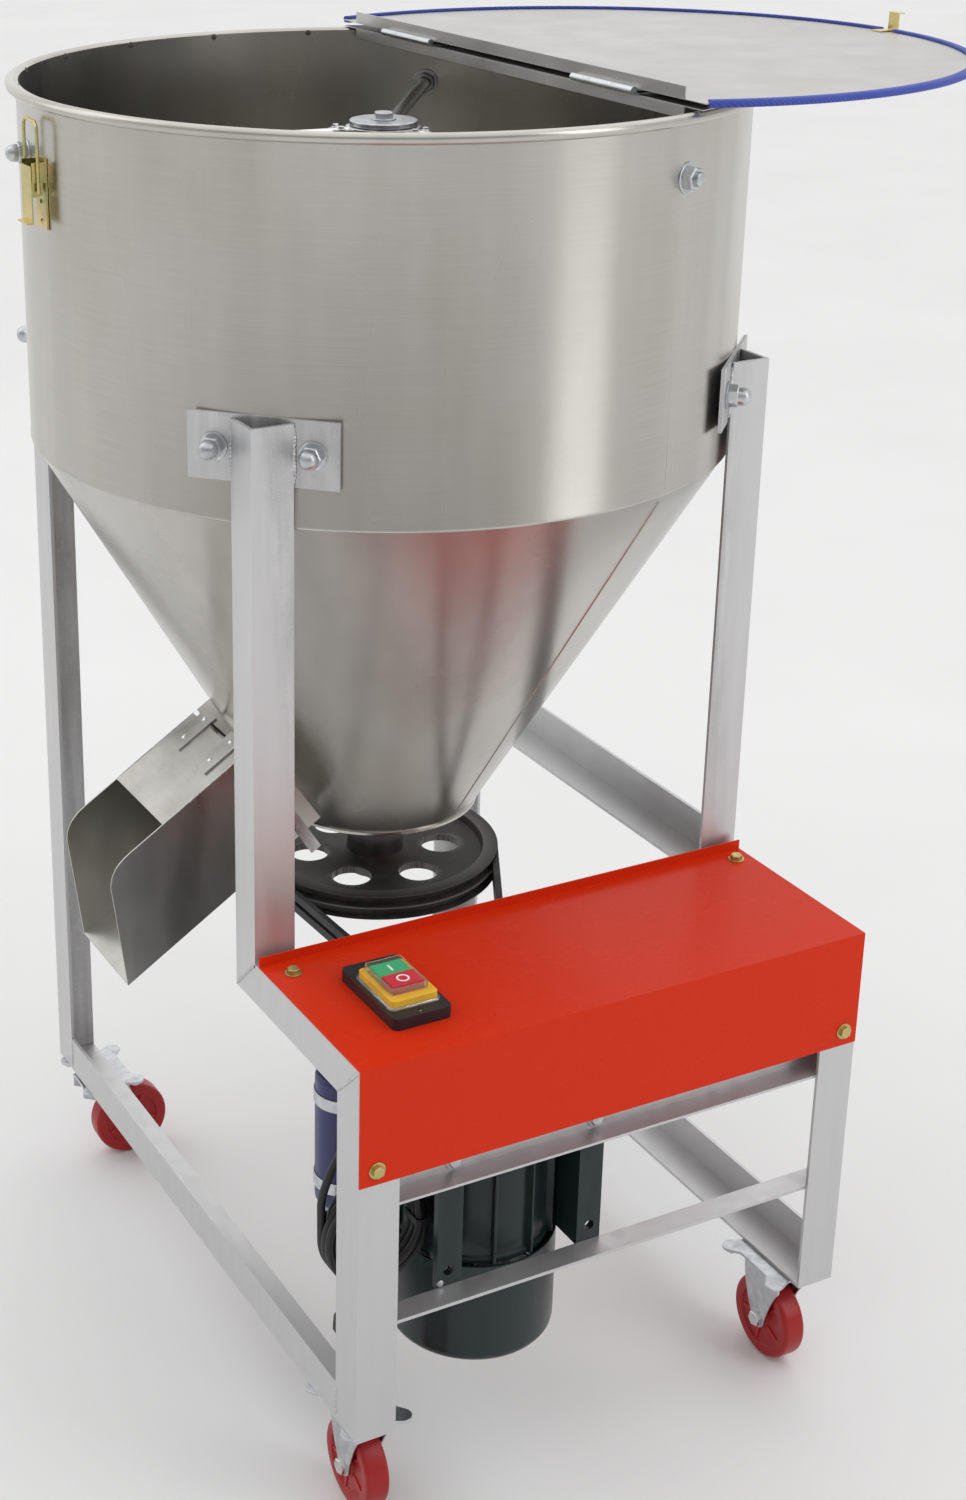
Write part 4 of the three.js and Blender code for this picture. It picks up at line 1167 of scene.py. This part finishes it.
def add_capacitors():
    for name, node, foot_round in (("start_can", "start_capacitor", 9), ("run_can", "run_capacitor", 5)):
        low, high = limits(node)
        centre = (low + high) / 2
        radius = (high.x - low.x) / 2
        place = moved(centre.x, centre.y)
        bm = bmesh.new()
        lathe(bm, can_profile(radius, low.z, high.z - 3, foot_round, 6), 72, place)
        lathe(bm, [(0, high.z - 4), (8, high.z - 4), (8, high.z), (0, high.z)], 32, place)
        piece(name, bm, "capacitor_navy", replaces=[node], sharp=50)
    bm = bmesh.new()
    start, run = [sum(limits(node), Vector()) / 2 for node in ("start_capacitor", "run_capacitor")]
    back = start.y + 32.3
    block(bm, (start.x - 12, start.x + 12), (back, back + 2.4), (272, 575.5))
    block(bm, (start.x - 12, start.x + 12), (back, back + 34), (573.1, 575.5))
    for z in (360, 462):
        ring_strap(bm, moved(start.x, start.y), 31.3, z - 7, z + 7)
    block(bm, (start.x - 12, run.x + 8), (back, back + 2.4), (272, 294))
    block(bm, (run.x - 8, run.x + 8), (run.y + 22, back + 1), (274, 292))
    ring_strap(bm, moved(run.x, run.y), 22.3, 274, 292)
    piece("capacitor_bracket", bm, "zinc", edge=0.3)
    bm = bmesh.new()
    hex_bolt(bm, moved(start.x - 20, back + 20, 573.1) @ FLIPPED, 6, 4)
    piece("capacitor_bracket_bolt", bm, "zinc", edge=0.2)


# ---- Guard bolts and switch ----

def add_guard_bolts():
    bm = bmesh.new()
    top = SHELF + 1.8
    for x, y in ((-284, -348), (291, -343)):
        hex_bolt(bm, moved(x, y, top), 7, 4.6, 20)
    for x, z in ((-291, 463), (293, 464)):
        hex_bolt(bm, facing((x, GUARD_FACE_Y, z), (0, -1, 0)), 7, 4.6, 20)
    piece("guard_bolts", bm, "yellow_zinc", edge=0.25)


def add_switch_details():
    place = moved(SWITCH.x, SWITCH.y)
    deck = SWITCH.z + 13
    bm = bmesh.new()
    outer = rounded_outline(29.5, 40.5, 6.5)
    inner = rounded_outline(27.2, 38.2, 5.2)
    levels = ((outer, deck + 0.1), (outer, deck + 1.8), (inner, deck + 2.4), (inner, deck + 0.1))
    stack(bm, place @ moved(0, -4), levels, True)
    piece("switch_gasket", bm, "switch_black", look="clear_cover")
    bm = bmesh.new()
    for side in (-52, 52):
        centre = place @ Vector((0, side, deck - 3.2))
        ball(bm, centre, 3.4, 0.55)
        block(bm, (-2.6, 2.6), (-0.4, 0.4), (-1.5, 2.2), Matrix.Translation(centre))
    piece("switch_screws", bm, "zinc", look="bright_stainless")
    low = deck + 9.4
    bm = bmesh.new()
    outer = rounded_outline(21.2, 30.6, 2.2)
    inner = rounded_outline(20.0, 29.4, 1.2)
    stack(bm, place, ((inner, low), (outer, low), (outer, low + 7.5), (inner, low + 7.5)), True)
    piece("switch_cover", bm, "switch_yellow", look="clear_cover", edge=0.5)
    top_start = limits("start_button")[1].z
    top_stop = limits("stop_button")[1].z
    bm = bmesh.new()
    block(bm, (-1.1, 1.1), (5.5, 17.5), (top_start - 0.2, top_start + 0.25), place @ moved(0, 1))
    piece("start_mark", bm, "button_green", "start", look="white_mark")
    bm = bmesh.new()
    lathe(bm, [(5.0, -0.2), (7.0, -0.2), (7.0, 0.25), (5.0, 0.25)], 48,
          place @ moved(0, -14.5, top_stop), closed=True)
    piece("stop_mark", bm, "button_red", "stop", look="white_mark")


# ---- Lid ----

def half_disc(radius, centre_x, cut_x, steps=160):
    """The part of a disc beyond x = cut_x, as an outline."""
    limit = math.degrees(math.acos((cut_x - centre_x) / radius))
    return arc((centre_x, 0), radius, -limit, limit, steps)


def add_lid():
    fixed_low, fixed_high = limits("lid_fixed")
    bm = bmesh.new()
    prism(bm, half_disc(LID_R, 0, HINGE_X + 5, 90), fixed_high.z - SHEET, fixed_high.z)
    fold = (HINGE_X + 5, HINGE_X + 5 + SHEET)
    block(bm, fold, (-FLANGE_HALF, FLANGE_HALF), (fixed_low.z, fixed_high.z - SHEET))
    piece("lid_fixed_half", bm, "bright_stainless", replaces=["lid_fixed"], look="lid_steel", edge=0.2)
    low, high = limits("lid_hinged")
    bm = bmesh.new()
    prism(bm, half_disc(LID_R, 2 * HINGE_X, HINGE_X + 5), low.z, low.z + SHEET)
    block(bm, fold, (-FLANGE_HALF, FLANGE_HALF), (low.z + SHEET, high.z))
    piece("lid_hinged_half", bm, "bright_stainless", "lid", ["lid_hinged"], look="lid_steel", edge=0.2)


def seal_section(low, top):
    """The C of the edge trim round the sheet's edge, from its lower lip to its upper one."""
    outer = arc((LID_R + 0.4, (low + top) / 2), (top - low) / 2, -90, 90, 10)
    slit_low = low + 2.6
    slit_high = top - 2.6
    inner = LID_R + 0.7
    return [(LID_R - 5.6, low), *outer, (LID_R - 5.6, top), (LID_R - 6, top - 1), (LID_R - 6, slit_high),
            (inner, slit_high), (inner, slit_low), (LID_R - 6, slit_low), (LID_R - 6, low + 1)]


def add_lid_seal():
    low, high = limits("lid_edge_seal")
    sheet_low = limits("lid_hinged")[0].z
    centre = moved(2 * HINGE_X, 0)
    edge = math.degrees(math.acos((8 - HINGE_X) / (LID_R + 4)))
    gap = math.degrees(13 / LID_R)
    section = seal_section(low.z, high.z)
    bm = bmesh.new()
    for span in ((-edge, -gap), (gap, edge)):
        lathe(bm, section, 150, centre, closed=True, span=span)
    lip = [(LID_R - 6, low.z), (LID_R + 3, low.z), (LID_R + 4, low.z + 1.5), (LID_R + 4, sheet_low),
           (LID_R + 0.7, sheet_low), (LID_R + 0.7, sheet_low - 0.3), (LID_R - 6, sheet_low - 0.3)]
    lathe(bm, lip, 8, centre, closed=True, span=(-gap, gap))
    piece("lid_trim", bm, "seal_blue", "lid", ["lid_edge_seal"], sharp=60)


# ---- Chute ----

def add_chute_details():
    bm = bmesh.new()
    place = in_chute()
    normal = place.to_3x3() @ Vector((0, 0, 1))
    for y in (34, -40):
        for u in (-124, -92):
            ball(bm, place @ Vector((u, y, CHUTE_N + 2.3)), 3.4, 0.4, normal)
    piece("chute_rivets", bm, "bright_stainless")
    bm = bmesh.new()
    for side in (-1, 1):
        start, end = [place @ Vector((u, side * (CHUTE_Y - 0.5), CHUTE_N)) for u in (-122, -2)]
        weld(bm, start, end, 1.0, side + 5)
    piece("chute_corner_welds", bm, "stainless_sheet", look="weld")


# ---- Weld beads ----

def weld(bm, start, end, radius, seed):
    """A hand-laid bead: a run of overlapping ripples of uneven width."""
    draw = random.Random(seed)
    start, end = Vector(start), Vector(end)
    length = (end - start).length
    steps = max(6, int(length / 1.5))
    points = []
    radii = []
    for i in range(steps + 1):
        t = i / steps
        ripple = 0.18 * math.sin(2 * math.pi * t * length / 4.2)
        ends = min(1, 4 * t + 0.35, 4 * (1 - t) + 0.35)
        points.append(start.lerp(end, t) + Vector((draw.uniform(-0.2, 0.2), draw.uniform(-0.2, 0.2), 0)))
        radii.append(radius * ends * (1 + ripple + draw.uniform(-0.12, 0.12)))
    tube(bm, points, radii, 12)


def add_plate_welds():
    for sx, sy, name in CORNERS:
        out = Vector((sx, sy, 0)).normalized()
        bm = bmesh.new()
        for x, y in ((HALF - ANGLE - 0.5, HALF - 1), (HALF - 1, HALF - ANGLE - 0.5)):
            point = Vector((sx * x, sy * y, 0))
            point -= out * (point.dot(out) - PLATE_FACE - 0.6)
            weld(bm, point + Vector((0, 0, 1108)), point + Vector((0, 0, 1164)), 2.3, sx * 3 + sy + x)
        piece(f"{name}_plate_welds", bm, "silver_paint", look="weld")


def add_frame_welds():
    for sx, name in SIDES:
        bm = bmesh.new()
        x = sx * HALF
        for y in (-HALF, FRONT):
            weld(bm, (x, y, SHELF), (x, y + ANGLE, SHELF - ANGLE), 1.6, sx + y)
        inner = sx * (HALF - ANGLE)
        weld(bm, (inner, -HALF - 1, SHELF + 1), (sx * (HALF - IRON), -HALF - 1, SHELF + 1), 2.4, sx + 11)
        for y in (FRONT + ANGLE + 0.5, HALF - ANGLE - 0.5):
            weld(bm, (x - sx * 0.5, y, FOOT + 2), (x - sx * 0.5, y, FOOT + ANGLE - 2), 1.9, sx * 7 + y)
        face = sx * (HALF - IRON - 0.4)
        for z in (411, 265):
            weld(bm, (face, FRONT + IRON + 3, z), (face, FRONT + 30, z), 2.0, sx * 5 + z)
        piece(f"{name}_frame_welds", bm, "silver_paint", look="weld")
    bm = bmesh.new()
    for y in (-HALF + ANGLE + 0.6, HALF - ANGLE - 0.6):
        weld(bm, (HALF - 0.5, y, 552), (HALF - 0.5, y, 594), 1.9, y)
    piece("side_rail_welds", bm, "silver_paint", look="weld")


# ---- Castors ----

def wheel_profile():
    rim, half = WHEEL_R, WHEEL_HALF
    side = [(6.3, half + 1), (13, half + 1), (14, half), (14.6, half - 2.4), (17, half - 3), (32, half - 3),
            (34.4, half - 2.4), (35.6, half - 0.4), (37, half), (rim - 5, half)]
    tread = [(rim - 4.6 + 4.6 * math.sin(a), half - 5 + 5 * math.cos(a))
             for a in (math.radians(90 * i / 8) for i in range(9))]
    upper = side + tread
    lower = [(r, -z) for r, z in reversed(upper)]
    return [*upper, *lower]


def add_wheels():
    places = []
    for sx, name in SIDES:
        front = Vector((sx * CASTOR_X, CASTOR_FRONT_Y, WHEEL_R))
        places.append((f"front_{name}_wheel", front, Vector((1, 0, 0))))
        rear = Vector((sx * CASTOR_X + TRAIL, CASTOR_REAR_Y, WHEEL_R))
        places.append((f"rear_{name}_wheel", rear, Vector((0, 1, 0))))
    for name, centre, axle in places:
        bm = bmesh.new()
        place = facing(centre, axle)
        lathe(bm, wheel_profile(), 96, place, closed=True)
        for side in (-1, 1):
            for k in range(5):
                depth = sorted((side * (WHEEL_HALF - 4), side * (WHEEL_HALF - 1.6)))
                block(bm, (13, 35), (-2, 2), depth, place @ turned_z(72 * k + 10))
        piece(f"{name}_tyre", bm, "wheel_red", name, [name], edge=0.3, sharp=40)


def cheek_outline(reach, top):
    """A fork cheek: wide at the plate, drawn in at the waist and round at the axle."""
    def bend(a, b, c):
        return [tuple(Vector(a).lerp(Vector(b), t).lerp(Vector(b).lerp(Vector(c), t), t))
                for t in (i / 10 for i in range(1, 11))]
    points = [(-34, top), (30, top), (30, 108)]
    points += bend((30, 108), (28 + reach * 0.3, 84), (reach + 12, 52))
    points += arc((reach, WHEEL_R), 12, 0, -180, 16)[1:]
    points += bend((reach - 12, WHEEL_R), (reach - 20, 84), (-34, 104))
    return points


def fork_shapes(bm, reach, top, place):
    """Two cheeks and their bridge; the wheel rolls along local X."""
    for y in (-18.5, 16):
        side = place @ moved(0, y + 2.5, 0) @ Matrix.Rotation(math.pi / 2, 4, "X")
        prism(bm, cheek_outline(reach, top), 0, 2.5, side)
    block(bm, (-34, 30), (-18.5, 18.5), (top - 3, top), place)


def axle_shapes(bm, reach, place):
    axle = place @ facing((reach, 0, WHEEL_R), (0, 1, 0))
    lathe(bm, [(0, -24), (5.9, -24), (5.9, 24), (0, 24)], 32, axle)
    hex_part(bm, place @ facing((reach, 18.5, WHEEL_R), (0, 1, 0)), 9.4, 0, 6.2, 15)
    hex_part(bm, place @ facing((reach, -18.5, WHEEL_R), (0, -1, 0)), 9.4, 0, 5.6, 20)


def castor_plate(bm, z, place):
    """The mounting plate, with four round ears."""
    outline = []
    for k, (sx, sy) in enumerate(((1, 1), (-1, 1), (-1, -1), (1, -1))):
        outline += arc((EAR_X * sx, EAR_Y * sy), 11, 90 * k - 20, 90 * k + 110, 12)
        if k in (0, 2):
            outline += [(14 * sx, 45 * sy), (-14 * sx, 45 * sy)]
        else:
            outline += [(30 * sx, 24 * sy), (30 * sx, -24 * sy)]
    prism(bm, outline, z[0], z[1], place)


def add_castors():
    plate_top = limits("front_left_castor_bracket")[1].z
    plate_low = plate_top - 3
    plate_z = (plate_low, plate_top)
    for sx, name in SIDES:
        place = moved(sx * CASTOR_X, CASTOR_FRONT_Y)
        bm = bmesh.new()
        castor_plate(bm, plate_z, place)
        fork_shapes(bm, 0, plate_low + 1, place @ turned_z(90))
        node = f"front_{name}_castor_bracket"
        piece(f"front_{name}_castor_frame", bm, "zinc", replaces=[node], edge=0.5, sharp=35)
        bm = bmesh.new()
        axle_shapes(bm, 0, place @ turned_z(90))
        piece(f"front_{name}_castor_axle", bm, "zinc", edge=0.3, look="bright_stainless")

        place = moved(sx * CASTOR_X, CASTOR_REAR_Y)
        bm = bmesh.new()
        castor_plate(bm, plate_z, place)
        lathe(bm, [(0, plate_low - 5), (21, plate_low - 5), (24, plate_low - 2.5), (24, plate_low),
                   (0, plate_low)], 64, place)
        piece(f"rear_{name}_castor_top", bm, "zinc", replaces=[f"rear_{name}_castor_plate"], edge=0.4)
        top = plate_low - 5.3
        bm = bmesh.new()
        fork_shapes(bm, TRAIL, top, place)
        lathe(bm, [(0, 116), (22, 116), (26, 118), (26, top), (0, top)], 64, place)
        body = f"rear_{name}_castor"
        piece(f"{body}_yoke", bm, "zinc", body, [f"{body}_fork"], edge=0.5, sharp=35)
        bm = bmesh.new()
        axle_shapes(bm, TRAIL, place)
        piece(f"rear_{name}_castor_axle", bm, "zinc", body, edge=0.3, look="bright_stainless")
    for y, front_rear in ((CASTOR_FRONT_Y, "front"), (CASTOR_REAR_Y, "rear")):
        bm = bmesh.new()
        for sx, _ in SIDES:
            for ex in (-1, 1):
                for ey in (-1, 1):
                    place = moved(sx * CASTOR_X + EAR_X * ex, y + EAR_Y * ey, plate_low)
                    hex_bolt(bm, place @ FLIPPED, 6, 4)
        piece(f"{front_rear}_castor_bolts", bm, "zinc", edge=0.25)


# ---- Latch rivets ----

def add_latch_rivets():
    bm = bmesh.new()
    for z in (1325, 1345):
        ball(bm, (-402.8, 0, z), 3.2, 0.45, (-1, 0, 0))
    piece("latch_rivets", bm, "yellow_zinc")


add_camera()
add_lead()
add_lead_ties()
add_floor()
add_world()
add_light()
dress_kept_nodes()
add_hopper()
add_hopper_seams()
add_plate_nuts()
add_bearing()
add_mixer()
add_pulleys()
add_bottom_bearing()
add_belts()
add_motor()
add_capacitors()
add_guard_bolts()
add_switch_details()
add_lid()
add_lid_seal()
add_chute_details()
add_plate_welds()
add_frame_welds()
add_castors()
add_wheels()
add_latch_rivets()
